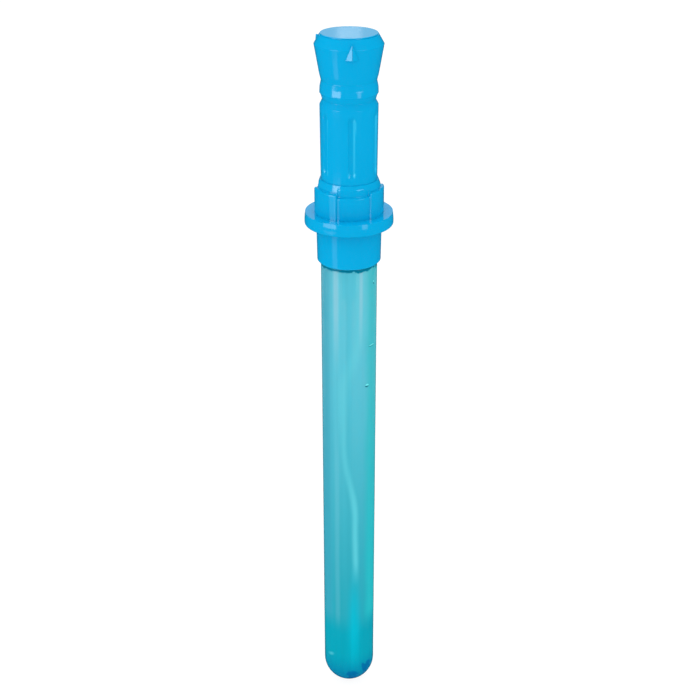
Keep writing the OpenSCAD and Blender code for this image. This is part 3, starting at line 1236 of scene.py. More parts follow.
@dataclass
class SolutionTube:
    """The blown tube with its round bottom and threaded neck, and the solution in it."""

    radius: float
    rim_z: float
    wall: float = 1.1 * MM
    bottom_extra: float = 0.6 * MM
    neck_h: float = 21.5 * MM
    neck_step: float = 1.6 * MM
    neck_wall: float = 1.3 * MM
    slope: float = 1.2 * MM
    thread_start: float = 7 * MM
    thread_sink: float = 0.2 * MM
    crest_r: float = 14 * MM
    edge: float = 0.4 * MM
    soft_edge: float = 0.5 * MM
    columns: int = 160
    round_steps: int = 28
    liquid_gap: float = 0.08 * MM
    liquid_top: float = 263.5 * MM
    meniscus: float = 1.2 * MM
    meniscus_steps: int = 8
    meniscus_power: int = 6
    drops: tuple[Drop, ...] = (
        Drop(54.481, 217.584 * MM, 4.6 * MM, 1.1 * MM),
        Drop(41.196, 195.705 * MM, 2.6 * MM, 1.9 * MM),
        Drop(60.133, 251.691 * MM, 0.7 * MM, 2.0 * MM))

    @property
    def shoulder_z(self) -> float:
        """Height of the shoulder, where the straight wall ends."""
        return self.rim_z - self.neck_h

    @property
    def neck_r(self) -> float:
        """Outer radius of the neck."""
        return self.radius - self.neck_step

    def build(self) -> list[bpy.types.Object]:
        """Build the tube, its thread, the solution and the drops.

        Returns:
            The pieces.
        """
        clear = ClearWall("tube_wall", self.radius, self.wall).material()
        around = even_angles(self.columns)
        tube = turned("tube_wall", self._wall_outline(), False, clear, around)
        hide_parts("solution_tube")
        ridge = Ridge(
            "neck_thread", self.neck_r - self.thread_sink, self.crest_r,
            self.shoulder_z + self.thread_start).build(clear)
        solution = BubbleSolution("bubble_solution", self.liquid_top).material()
        liquid = turned("bubble_solution", self._liquid_outline(), False, solution, around)
        pieces = [tube, ridge, liquid, self._drops()]
        for piece in pieces:
            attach(piece, Body.TUBE.value)
        return pieces

    def _round(self, radius: float, middle_z: float) -> list[tuple[float, float]]:
        """Return a quarter circle from the pole up to the wall, as points of radius and height."""
        turns = [math.pi / 2 * i / self.round_steps for i in range(self.round_steps + 1)]
        return [(radius * math.sin(turn), middle_z - radius * math.cos(turn)) for turn in turns]

    def _wall_outline(self) -> np.ndarray:
        """Draw the outline of the tube's wall.

        Returns:
            Its points, from the outer pole up, over the rim and down to the inner pole.
        """
        neck_bore = self.neck_r - self.neck_wall
        bore = self.radius - self.wall
        bottom_z = self.radius + self.bottom_extra
        upper = rounded([
            (self.radius, self.radius, 0), (self.radius, self.shoulder_z, self.soft_edge),
            (self.neck_r, self.shoulder_z + self.slope, self.edge),
            (self.neck_r, self.rim_z, self.edge), (neck_bore, self.rim_z, self.edge),
            (neck_bore, self.shoulder_z, self.soft_edge),
            (bore, self.shoulder_z - self.slope, self.soft_edge), (bore, bottom_z, 0)])
        outer = self._round(self.radius, self.radius)
        inner = self._round(bore, bottom_z)
        return np.array(outer[:-1] + [tuple(place) for place in upper] + inner[-2::-1])

    def _liquid_outline(self) -> np.ndarray:
        """Draw the outline of the solution, just inside the tube's wall.

        Returns:
            Its points, from the bottom pole to the middle of its surface.
        """
        wide = self.radius - self.wall - self.liquid_gap
        narrow = self.neck_r - self.neck_wall - self.liquid_gap
        outline = self._round(wide, self.radius + self.bottom_extra)
        outline.append((wide, self.shoulder_z - self.slope - self.liquid_gap))
        outline.append((narrow, self.shoulder_z - self.liquid_gap))
        for i in range(self.meniscus_steps + 1):
            share = 1 - i / self.meniscus_steps
            rise = self.meniscus * share ** self.meniscus_power
            outline.append((narrow * share, self.liquid_top + rise))
        return np.array(outline)

    def _drops(self) -> bpy.types.Object:
        """Set the drops on the tube's wall and store each point's "lift" on its drop.

        Returns:
            The piece.
        """
        shapes = [drop.shape(self.radius) for drop in self.drops]
        piece = mesh_object("wall_drops", *gathered(shapes), WaterDrop().material())
        lifts = []
        for vertex in piece.data.vertices:
            aways = [(vertex.co - drop.place(self.radius), drop) for drop in self.drops]
            away, drop = min(aways, key=lambda pair: pair[0].length)
            lifts.append(drop.lift(away))
        store(piece, "lift", lifts)
        return piece


@dataclass
class SealingWasher:
    """The soft ring between the tube's rim and the cap."""

    radius: float
    low_z: float
    high_z: float
    bore_r: float = 5.7 * MM
    edge: float = 0.3 * MM
    columns: int = 96

    def build(self) -> list[bpy.types.Object]:
        """Build the washer with rounded edges.

        Returns:
            The piece.
        """
        outline = rounded([
            (self.bore_r, self.low_z, self.edge), (self.radius, self.low_z, self.edge),
            (self.radius, self.high_z, self.edge), (self.bore_r, self.high_z, self.edge)], True)
        foam = FoamLiner().material()
        washer = turned("washer_ring", outline, True, foam, even_angles(self.columns))
        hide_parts("sealing_washer")
        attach(washer, Body.SEAL.value)
        return [washer]


@dataclass
class LoopStick:
    """The ladder of ribbed loops with its shank and the pin that snaps into the cap."""

    tip_z: float
    top_z: float
    half_w: float
    thickness: float = 3.4 * MM
    rim: float = 1.7 * MM
    pitch: float = 29 * MM
    count: int = 7
    bend_steps: int = 16
    rib_count: int = 20
    rib_depth: float = 0.8 * MM
    rib_w: float = 1.1 * MM
    edge: float = 0.35 * MM
    shank_w: float = 7 * MM
    collar_r: float = 5.4 * MM
    collar_z: float = 269.5 * MM
    collar_t: float = 1.7 * MM
    collar_edge: float = 0.3 * MM
    pin_r: float = 3.5 * MM
    pin_edge: float = 0.2 * MM
    bead_r: float = 3.85 * MM
    bead_z: float = 280.5 * MM
    bead_edge: float = 0.5 * MM
    columns: int = 72

    def build(self) -> list[bpy.types.Object]:
        """Build the ladder, the shank's two crossed bars and the pin.

        Returns:
            The pieces.
        """
        plastic = STICK_PLASTIC.material()
        ladder = self._ladder(plastic)
        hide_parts("loop_stick")
        low = self.tip_z + self.count * self.pitch
        high = self.collar_z + self.collar_t / 2
        thin, wide = self.thickness / 2, self.shank_w / 2
        flat = bar(
            "shank_flat", Vector((-thin, -wide, low + self.rim / 4)), Vector((thin, wide, high)),
            self.edge, plastic)
        fin = bar(
            "shank_fin", Vector((-wide, -thin, low + self.rim / 2)), Vector((wide, thin, high)),
            self.edge, plastic)
        pin = turned("snap_pin", self._pin_outline(), False, plastic, even_angles(self.columns))
        pieces = [ladder, flat, fin, pin]
        for piece in pieces:
            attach(piece, Body.WAND.value)
        return pieces

    def _ladder(self, plastic: bpy.types.Material) -> bpy.types.Object:
        """Build all loops with their ribs in one tree: one loop lies flat, then stands up.

        Args:
            plastic: The stick's material.

        Returns:
            The ladder.
        """
        straight = self.pitch + self.rim - 2 * self.half_w
        bench = GeometryBench("loop_ladder", {
            "Outer radius": self.half_w, "Rim": self.rim, "Straight": straight,
            "Thickness": self.thickness, "Edge": self.edge, "Pitch": self.pitch,
            "Loops": self.count, "Ribs": self.rib_count, "Rib depth": self.rib_depth,
            "Rib width": self.rib_w, "First middle": self.tip_z + self.half_w + straight / 2})
        size = bench.size
        path = bench.slot_curve(
            size("Outer radius") - size("Rim") * 0.5, size("Straight"), self.bend_steps)
        profile = bench.soft_rectangle(size("Thickness"), size("Rim"), size("Edge"))
        ring = bench.swept(path, profile)
        hole_r = size("Outer radius") - size("Rim")
        hole = bench.slot_curve(
            hole_r - size("Rib depth") * 0.5 + size("Edge") * 0.5, size("Straight"),
            self.bend_steps)
        spots = bench.node(
            "GeometryNodeCurveToPoints", {"mode": "COUNT"},
            {"Curve": hole, "Count": size("Ribs")})
        rib = bench.wire(
            "GeometryNodeMeshCube", {},
            {"Size": bench.vector(size("Rib width"), size("Rib depth") + size("Edge"),
                                  size("Thickness") - size("Edge"))})
        face_along = bench.wire(
            "FunctionNodeAlignRotationToVector", {"axis": "X"},
            {"Vector": Wire(bench, spots.outputs["Tangent"])})
        ribs = bench.copied(Wire(bench, spots.outputs["Points"]), rib, face_along)
        upright = bench.wire(
            "GeometryNodeTransform", {},
            {"Geometry": bench.joined(ring, ribs), "Rotation": (math.pi / 2, 0.0, math.pi / 2)})
        line = bench.wire(
            "GeometryNodeMeshLine", {"mode": "OFFSET"},
            {"Count": size("Loops"), "Start Location": bench.vector(z=size("First middle")),
             "Offset": bench.vector(z=size("Pitch"))})
        return bench.bake("loop_ladder", bench.copied(line, upright), plastic)

    def _pin_outline(self) -> np.ndarray:
        """Draw the outline of the shoulder, the pin and its snap bead.

        Returns:
            Its points, from the underside's middle to the top's.
        """
        bead_h = 2 * (self.bead_r - self.pin_r)
        collar_top = self.collar_z + self.collar_t
        return rounded([
            (0, self.collar_z, 0), (self.collar_r, self.collar_z, self.collar_edge),
            (self.collar_r, collar_top, self.collar_edge),
            (self.pin_r, collar_top, self.pin_edge),
            (self.pin_r, self.bead_z - bead_h, self.pin_edge),
            (self.bead_r, self.bead_z, self.bead_edge),
            (self.pin_r, self.bead_z + bead_h, self.pin_edge),
            (self.pin_r, self.top_z, self.bead_edge), (0, self.top_z, 0)])


@dataclass
class ScrewCap:
    """The screw cap with its skirt, hand guard and stepped collar.

    The panels' facing is in degrees, from the front to the right.
    """

    skirt_z: float
    top_z: float
    guard_r: float
    bore_r: float = 14.35 * MM
    thread_sink: float = 0.2 * MM
    thread_r: float = 12.75 * MM
    thread_z: float = 269.5 * MM
    skirt_r: float = 15.75 * MM
    skirt_top_r: float = 16.05 * MM
    guard_z: float = 280.5 * MM
    guard_top_z: float = 286.7 * MM
    guard_round: float = 1 * MM
    guard_crown: float = 0.34 * MM
    guard_side_round: float = 30 * MM
    guard_wall: float = 1.7 * MM
    rib_count: int = 12
    rib_sink: float = 0.2 * MM
    rib_lift: float = 0.1 * MM
    seat_z: float = 283.5 * MM
    web_z: float = 285.3 * MM
    socket_z: float = 271.5 * MM
    socket_r: float = 5.4 * MM
    socket_bore: float = 3.55 * MM
    collar_r: float = 17 * MM
    collar_top_z: float = 296.9 * MM
    shoulder_round: float = 1.798 * MM
    tier_r: float = 15.25 * MM
    tier_z: float = 299.7 * MM
    tier_top_z: float = 300.6 * MM
    grip_r: float = 13.75 * MM
    grip_lip: float = 0.375 * MM
    spigot_r: float = 11.1 * MM
    spigot_in_r: float = 9.3 * MM
    spigot_z: float = 295.5 * MM
    panel_depth: float = 0.9 * MM
    panel_ledge: float = 1 * MM
    panel_rise: float = 1 * MM
    panel_count: int = 3
    panel_facing: float = 8.5
    panel_edge: float = 0.55 * MM
    panel_edge_reach: float = 0.6
    panel_edge_columns: int = 11
    ledge_round: float = 0.8 * MM
    ledge_foot_round: float = 0.4 * MM
    slope_round: float = 3 * MM
    fillet: float = 0.5 * MM
    crisp_edge: float = 0.1 * MM
    edge: float = 0.2 * MM
    lip_edge: float = 0.25 * MM
    hollow_edge: float = 0.3 * MM
    skirt_edge: float = 0.4 * MM
    arc_steps: int = 5
    column_step: float = 1.5

    @property
    def hollow_r(self) -> float:
        """Inner radius of the hollow under the guard."""
        return self.skirt_top_r + self.guard_wall / 2

    @property
    def hollow_z(self) -> float:
        """Height of the hollow's ceiling."""
        return self.guard_top_z - self.guard_wall

    def build(self, plastic: bpy.types.Material) -> list[bpy.types.Object]:
        """Build the cap's shell, its thread and the ribs under the guard.

        Args:
            plastic: The handle's material.

        Returns:
            The pieces.
        """
        shell = turned(
            "cap_shell", self._outline(False), False, plastic, self._angles(), self._rings)
        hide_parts("screw_cap")
        thread = Ridge(
            "cap_thread", self.bore_r + self.thread_sink, self.thread_r,
            self.thread_z).build(plastic)
        pieces = [shell, thread, self._ribs(plastic)]
        for piece in pieces:
            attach(piece, Body.HANDLE.value)
        return pieces

    def _rings(self, outline: np.ndarray, angles: np.ndarray) -> Grids:
        """Blend the recessed outline in where the collar has its recessed panels.

        Args:
            outline: The outline through a raised panel.
            angles: The columns' angles, in radians.

        Returns:
            The radius and the height of every point at every angle.
        """
        share = self._recess(angles)
        recessed = self._outline(True)
        both = outline.T[:, :, None] * (1 - share) + recessed.T[:, :, None] * share
        return both[0], both[1]

    def _recess(self, angles: np.ndarray) -> np.ndarray:
        """Find the recessed panels.

        Args:
            angles: Angles round the axis, in radians.

        Returns:
            1 in the recessed panels, 0 on the raised ones and a soft edge between.
        """
        step = 360 / self.panel_count
        edge = math.degrees(self.panel_edge / self.collar_r)
        apart = np.abs(from_nearest(np.degrees(angles), self.panel_facing - 90, step))
        share = np.clip(0.5 + (step / 4 - apart) / edge, 0, 1)
        return share * share * (3 - 2 * share)

    def _angles(self) -> np.ndarray:
        """Space the columns, closer together at the panels' edges.

        Returns:
            The columns' angles, in radians.
        """
        step = 180 / self.panel_count
        edges = self.panel_facing - 90 + step / 2 + np.arange(2 * self.panel_count) * step
        reach = self.panel_edge_reach * math.degrees(self.panel_edge / self.collar_r)
        near = np.linspace(-reach, reach, self.panel_edge_columns)
        return spaced_angles(self.column_step, edges, near)

    def _outline(self, recessed: bool) -> np.ndarray:
        """Draw the outline of the cap's shell.

        Args:
            recessed: True for the outline through a recessed panel.

        Returns:
            Its points, from the middle of the web's underside, out and up to the web's top.
        """
        lip = self.skirt_r - self.bore_r
        rim_r = self.guard_r - self.guard_wall
        guard_middle = (self.guard_z + self.guard_top_z) / 2
        sides = [
            (0, self.seat_z, 0), (self.socket_bore, self.seat_z, self.crisp_edge),
            (self.socket_bore, self.socket_z, self.edge),
            (self.socket_r, self.socket_z, self.edge), (self.socket_r, self.seat_z, self.edge),
            (self.bore_r, self.seat_z, self.edge), (self.bore_r, self.skirt_z, self.lip_edge),
            (self.skirt_r - lip / 2, self.skirt_z, self.lip_edge),
            (self.skirt_r, self.skirt_z + lip / 2, self.skirt_edge),
            (self.skirt_top_r, self.guard_z, self.edge), (self.hollow_r, self.guard_z, self.edge),
            (self.hollow_r, self.hollow_z, self.hollow_edge),
            (rim_r, self.hollow_z, self.hollow_edge), (rim_r, self.guard_z, self.edge),
            (self.guard_r, self.guard_z, self.guard_round),
            (self.guard_r, guard_middle, self.guard_side_round),
            (self.guard_r - self.guard_crown, self.guard_top_z, self.guard_round)]
        collar = self._recessed_collar() if recessed else self._raised_collar()
        inside = [
            (self.grip_r, self.top_z, self.crisp_edge), (self.grip_r, self.web_z, self.crisp_edge),
            (self.spigot_r, self.web_z, self.crisp_edge),
            (self.spigot_r, self.spigot_z, self.edge),
            (self.spigot_in_r, self.spigot_z, self.edge),
            (self.spigot_in_r, self.web_z, self.edge), (0, self.web_z, 0)]
        lower = held(rounded(sides, False, self.arc_steps))
        upper = held(rounded(collar + inside, False, self.arc_steps), True)
        return np.vstack([lower, upper])

    def _raised_collar(self) -> list[Corner]:
        """Draw the collar through a raised panel.

        Returns:
            Its corners, from the guard up to the grip.
        """
        return [
            (self.collar_r, self.guard_top_z, self.fillet),
            (self.collar_r, self.tier_z, self.shoulder_round),
            (self.tier_r, self.tier_z, self.fillet / 2),
            (self.tier_r, self.tier_top_z, self.fillet * 2),
            (self.grip_r + self.grip_lip, self.top_z, self.edge)]

    def _recessed_collar(self) -> list[Corner]:
        """Draw the collar through a recessed panel, with as many corners as a raised one.

        Returns:
            Its corners, from the guard up to the grip.
        """
        lower_r = self.collar_r - self.panel_depth
        upper_r = self.tier_r - self.panel_depth / 2
        ledge_z = self.collar_top_z + self.panel_ledge
        return [
            (lower_r, self.guard_top_z, self.fillet), (lower_r, ledge_z, self.ledge_round),
            (upper_r, ledge_z, self.ledge_foot_round),
            (upper_r, self.tier_top_z + self.panel_rise, self.slope_round),
            (self.grip_r + self.grip_lip, self.top_z, self.edge)]

    def _ribs(self, plastic: bpy.types.Material) -> bpy.types.Object:
        """Set the stiffening ribs round the guard's hollow.

        Args:
            plastic: The handle's material.

        Returns:
            The ribs.
        """
        room = self.guard_r - self.guard_wall - self.hollow_r
        bench = GeometryBench("guard_ribs", {
            "Inner radius": self.hollow_r - self.rib_sink, "Reach": room + 2 * self.rib_sink,
            "Height": self.hollow_z - self.guard_z, "Low": self.guard_z + self.rib_lift,
            "Rib thickness": self.guard_wall / 2, "Ribs": self.rib_count})
        size = bench.size
        rib = bench.wire(
            "GeometryNodeMeshCube", {},
            {"Size": bench.vector(size("Reach"), size("Rib thickness"), size("Height"))})
        place = bench.vector(
            size("Inner radius") + size("Reach") * 0.5, 0.0, size("Low") + size("Height") * 0.5)
        placed = bench.wire(
            "GeometryNodeTransform", {}, {"Geometry": rib, "Translation": place})
        spots = bench.wire("GeometryNodePoints", {}, {"Count": size("Ribs")})
        number = bench.wire("GeometryNodeInputIndex")
        turn = bench.vector(z=number * FULL_TURN / size("Ribs"))
        return bench.bake("guard_ribs", bench.copied(spots, placed, turn), plastic)


@dataclass(frozen=True)
class FluteLight:
    """Where the thin walls of a flute gather light, which the handle's material paints as a
    highlight.

    A place along the flute is -1 at its foot and 1 at its top. Places beside its middle and
    widths are in metres.
    """

    side: float = 1.25 * MM
    width: float = 0.42 * MM
    line_strength: float = 0.6
    line_end: float = 0.93
    line_slope: float = 0.2
    crest_side: float = 1.838 * MM
    crest_strength: float = 0.4
    crest_start: Span = (0.3, 0.7)
    crest_end: float = 0.9
    glint_side: float = 1.5 * MM
    glint_width: float = 0.504 * MM
    glint_place: float = -0.88
    glint_len: float = 0.05
    far_glint_side: float = -1.375 * MM
    far_glint_strength: float = 0.5

    def strength(self, side: np.ndarray, along: np.ndarray) -> np.ndarray:
        """Find how strongly places are lit: a line beside the flute and glints at its foot.

        Args:
            side: Places beside the flute's middle.
            along: Places along the flute.

        Returns:
            The strength of the light, 0 to 1.
        """
        line = self.line_strength * bell(side, self.side, self.width)
        line *= (np.abs(along) < self.line_end) * (1 - self.line_slope + self.line_slope * along)
        low, high = self.crest_start
        crest = self.crest_strength * bell(side, self.crest_side, self.width)
        crest *= np.clip((along - low) / (high - low), 0, 1) * (along < self.crest_end)
        glint = bell(side, self.glint_side, self.glint_width)
        glint += self.far_glint_strength * bell(side, self.far_glint_side, self.width)
        glint *= bell(along, self.glint_place, self.glint_len)
        return np.clip(np.maximum.reduce([line, crest, glint]), 0, 1)


@dataclass
class HandleGrip:
    """The hollow grip with its flutes, bead, flared pommel and studs.

    What faces somewhere faces there in degrees, from the front to the right.
    """

    foot_z: float
    top_z: float
    widest_r: float
    collar_z: float
    low_r: float = 13.65 * MM
    top_r: float = 13.95 * MM
    grip_len: float = 36 * MM
    bore_r: float = 11.2 * MM
    groove_h: float = 5.4 * MM
    groove_depth: float = 1.3 * MM
    neck_share: float = 0.6
    bead_h: float = 3.4 * MM
    bead_slant: float = 0.425 * MM
    bead_round: float = 2.4 * MM
    bead_top_round: float = 4 * MM
    neckline_h: float = 5.8 * MM
    neckline_round: float = 0.4 * MM
    flare_h: float = 13.8 * MM
    flare_round: float = 3 * MM
    bevel_reach: float = 2.5 * MM
    bevel_h: float = 4.4 * MM
    pocket_r: float = 13.1 * MM
    pocket_h: float = 12 * MM
    crisp_edge: float = 0.2 * MM
    edge: float = 0.3 * MM
    fillet: float = 0.45 * MM
    row_h: float = 1.1 * MM
    column_step: float = 1.25
    flute_columns: Span = (-14, 14.1)
    flute_column_step: float = 0.5
    flute_count: int = 6
    flute_len: float = 29.4 * MM
    flute_r: float = 2.4 * MM
    flute_depth: float = 0.85 * MM
    flute_facing: float = 5.0
    flute_blend: float = 0.22 * MM
    flute_light: FluteLight = FluteLight()
    light_wall: float = 0.5 * MM
    stud_count: int = 3
    stud_h: float = 7.3 * MM
    stud_drop: float = 1.6 * MM
    stud_half_w: float = 3.1 * MM
    stud_root: float = 2.4 * MM
    stud_foot_out: float = 1.2 * MM
    stud_tip_out: float = 0.7 * MM
    stud_edge: float = 0.12 * MM
    stud_wide_face: float = 0.72 * MM
    stud_facing: float = 5.0

    def build(self, plastic: bpy.types.Material) -> list[bpy.types.Object]:
        """Build the grip and its studs.

        Args:
            plastic: The handle's material.

        Returns:
            The pieces.
        """
        outline = np.vstack([self._outside(), self._inside()])
        grip = turned("grip_shell", outline, True, plastic, self._angles(), self._rings)
        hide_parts("handle_grip")
        self._mark_light(grip)
        pieces = [grip, self._studs(plastic)]
        for piece in pieces:
            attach(piece, Body.HANDLE.value)
        return pieces

    def _rings(self, outline: np.ndarray, angles: np.ndarray) -> Grids:
        """Cut the flutes into the outside.

        Args:
            outline: The whole outline, its inside last.
            angles: The columns' angles, in radians.

        Returns:
            The radius and the height of every point at every angle.
        """
        radii, heights = plain_rings(outline, angles)
        rows = slice(0, len(outline) - len(self._inside()))
        flutes = self._flute_radii(heights[rows], angles)
        radii[rows] = blended_least(radii[rows], flutes, self.flute_blend)
        return radii, heights

    def _angles(self) -> np.ndarray:
        """Space the columns, closer together at the flutes.

        Returns:
            The columns' angles, in radians.
        """
        turns = np.arange(self.flute_count) * 360 / self.flute_count
        near = np.arange(*self.flute_columns, self.flute_column_step)
        return spaced_angles(self.column_step, self.flute_facing - 90 + turns, near)

    def _outside(self) -> np.ndarray:
        """Draw the outside of the grip, the bead and the pommel.

        Returns:
            Its points, from the foot up to the pocket's rim.
        """
        grip_z = self.collar_z + self.grip_len
        bead_z = grip_z + self.groove_h
        bead_top = bead_z + self.bead_h
        flare_z = bead_top + self.neckline_h
        widest_z = flare_z + self.flare_h
        groove_r = self.top_r - self.groove_depth
        neck_r = self.top_r - self.groove_depth * self.neck_share
        slant = self.bead_slant
        outer = rounded([
            (self.low_r, self.foot_z, 0), (self.low_r, self.collar_z, self.crisp_edge),
            (self.top_r, grip_z, self.edge), (groove_r, (grip_z + bead_z) / 2, self.crisp_edge),
            (self.top_r - slant, bead_z, self.edge),
            (self.top_r, bead_z + slant, self.bead_round),
            (self.top_r - slant / 3, bead_top, self.bead_top_round),
            (neck_r, (bead_top + flare_z) / 2, self.neckline_round),
            (self.top_r, flare_z, self.flare_round), (self.widest_r, widest_z, self.fillet),
            (self.widest_r - self.bevel_reach, self.top_z, self.fillet / 2),
            (self.pocket_r, self.top_z, 0)])
        return refined(held(outer), self.row_h)

    def _inside(self) -> np.ndarray:
        """Draw the inside of the grip.

        Returns:
            Its three points, from the pocket's floor down to the foot.
        """
        floor_z = self.top_z - self.pocket_h
        radii, heights = (self.pocket_r, self.bore_r, self.bore_r), (floor_z, floor_z, self.foot_z)
        return np.array([radii, heights]).T

    def _from_flute(self, angles: np.ndarray) -> np.ndarray:
        """Return how far angles lie from the nearest flute's middle, in radians."""
        first = math.radians(self.flute_facing - 90)
        return from_nearest(angles, first, FULL_TURN / self.flute_count)

    def _flute_radii(self, heights: np.ndarray, angles: np.ndarray) -> np.ndarray:
        """Find the walls of the flutes, which are cut by round-ended rods.

        Args:
            heights: Height of every point at every angle.
            angles: The columns' angles, in radians.

        Returns:
            The radius of the nearest flute's wall, far out where there is none.
        """
        off = self._from_flute(angles)
        axis_r = (self.low_r + self.top_r) / 2 - self.flute_depth + self.flute_r
        reach = math.sqrt(self.flute_r ** 2 - (self.flute_r - self.flute_depth) ** 2)
        half = self.flute_len / 2 - reach
        middle = self.collar_z + self.grip_len / 2
        beyond = np.clip(np.abs(heights - middle) - half, 0, None)
        inside = self.flute_r ** 2 - beyond ** 2 - (axis_r * np.sin(off)) ** 2
        wall = axis_r * np.cos(off) - np.sqrt(np.clip(inside, 0, None))
        return np.where(inside > 0, wall, 2 * self.widest_r)

    def _mark_light(self, grip: bpy.types.Object) -> None:
        """Store how strongly the flutes' thin walls gather light, as "lip", for a painted
        highlight.

        Args:
            grip: The grip's shell.
        """
        places = np.empty(len(grip.data.vertices) * 3)
        grip.data.vertices.foreach_get("co", places)
        x, y, z = places.reshape(-1, 3).T
        side = self._from_flute(np.arctan2(y, x)) * self.low_r
        along = (z - self.collar_z - self.grip_len / 2) / (self.flute_len / 2)
        outside = (np.hypot(x, y) > self.bore_r + self.light_wall) & (np.abs(along) < 1)
        # lip: strength of the painted highlight that the handle's material mixes into its colour
        store(grip, "lip", self.flute_light.strength(side, along) * outside)

    def _stud(self) -> Shape:
        """Shape one three-sided stud with slightly rounded edges, facing +X.

        Returns:
            Its points and faces. Its root lies in the pommel's wall.
        """
        tip_z = self.top_z - self.stud_drop
        foot_z = tip_z - self.stud_h
        flare_z = self.top_z - self.bevel_h - self.flare_h
        flare = (self.widest_r - self.top_r) / self.flare_h
        side_r = self.top_r + flare * (foot_z - flare_z)
        tip_r, half = self.widest_r + self.stud_tip_out, self.stud_half_w
        back_r, back_tip_r = side_r - self.stud_root, tip_r - self.stud_root
        work = bmesh.new()
        corners = [work.verts.new(place) for place in (
            (self.widest_r + self.stud_foot_out, 0, foot_z), (side_r, -half, foot_z),
            (side_r, half, foot_z), (tip_r, 0, tip_z), (back_r, -half, foot_z),
            (back_r, half, foot_z), (back_tip_r, 0, tip_z))]
        for face in ((0, 1, 3), (0, 3, 2), (3, 1, 4, 6), (2, 3, 6, 5), (6, 4, 5), (0, 2, 5, 4, 1)):
            work.faces.new([corners[i] for i in face])
        bmesh.ops.bevel(work, geom=work.edges[:], offset=self.stud_edge, segments=2,
                        affect="EDGES", profile=0.5)
        wide = [face for face in work.faces if face.calc_area() > self.stud_wide_face ** 2]
        bmesh.ops.inset_individual(work, faces=wide, thickness=self.stud_edge)
        points = np.array([vertex.co for vertex in work.verts])
        faces = [[vertex.index for vertex in face.verts] for face in work.faces]
        work.free()
        return points, faces

    def _studs(self, plastic: bpy.types.Material) -> bpy.types.Object:
        """Set the studs round the pommel.

        Args:
            plastic: The handle's material.

        Returns:
            The studs.
        """
        points, faces = self._stud()
        shapes = []
        for turn in even_angles(self.stud_count) + math.radians(self.stud_facing - 90):
            c, s = math.cos(turn), math.sin(turn)
            shapes.append((points @ np.array([[c, s, 0], [-s, c, 0], [0, 0, 1]]), faces))
        return mesh_object("pommel_studs", *gathered(shapes), plastic)


@dataclass
class PommelCap:
    """The disc that closes the pommel, with its plug ring."""

    radius: float
    low_z: float
    top_z: float
    thickness: float = 0.6 * MM
    plug_r: float = 13 * MM
    plug_wall: float = 1.2 * MM
    plug_edge: float = 0.2 * MM
    corner_edge: float = 0.05 * MM
    under_edge: float = 0.1 * MM
    edge: float = 0.35 * MM
    columns: int = 128

    def build(self, plastic: bpy.types.Material) -> list[bpy.types.Object]:
        """Build the disc.

        Args:
            plastic: The handle's material.

        Returns:
            The piece.
        """
        under = self.top_z - self.thickness
        inner = self.plug_r - self.plug_wall
        outline = held(rounded([
            (0, under, 0), (inner, under, self.plug_edge), (inner, self.low_z, self.plug_edge),
            (self.plug_r, self.low_z, self.plug_edge), (self.plug_r, under, self.corner_edge),
            (self.radius, under, self.under_edge), (self.radius, self.top_z, self.edge),
            (0, self.top_z, 0)]))
        disc = turned("pommel_disc", outline, False, plastic, even_angles(self.columns))
        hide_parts("pommel_cap")
        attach(disc, Body.HANDLE.value)
        return [disc]


@dataclass(frozen=True)
class Panel:
    """One soft light panel that faces the object's axis.

    It gives only its mirrored light, or only its plain light. Its azimuth is in degrees, from
    the front to the right.
    """

    name: str
    azimuth: float
    distance: float
    low_z: float
    high_z: float
    width: float
    radiance: float
    mirrored: bool = True

    def build(self) -> None:
        """Set up the lamp, unseen by the camera."""
        lamp = bpy.data.lights.new(self.name, "AREA")
        lamp.shape = "RECTANGLE"
        lamp.size, lamp.size_y = self.width, self.high_z - self.low_z
        lamp.energy = self.radiance * math.pi * lamp.size * lamp.size_y
        made = bpy.data.objects.new(self.name, lamp)
        turn = math.radians(self.azimuth - 90)
        place = Vector((self.distance * math.cos(turn), self.distance * math.sin(turn),
                        (self.low_z + self.high_z) / 2))
        made.location = place
        aim = Vector((0.0, 0.0, place.z)) - place
        made.rotation_euler = aim.to_track_quat("-Z", "Y").to_euler()
        made.visible_camera = False
        made.visible_glossy = self.mirrored
        made.visible_diffuse = not self.mirrored
        bpy.context.scene.collection.objects.link(made)


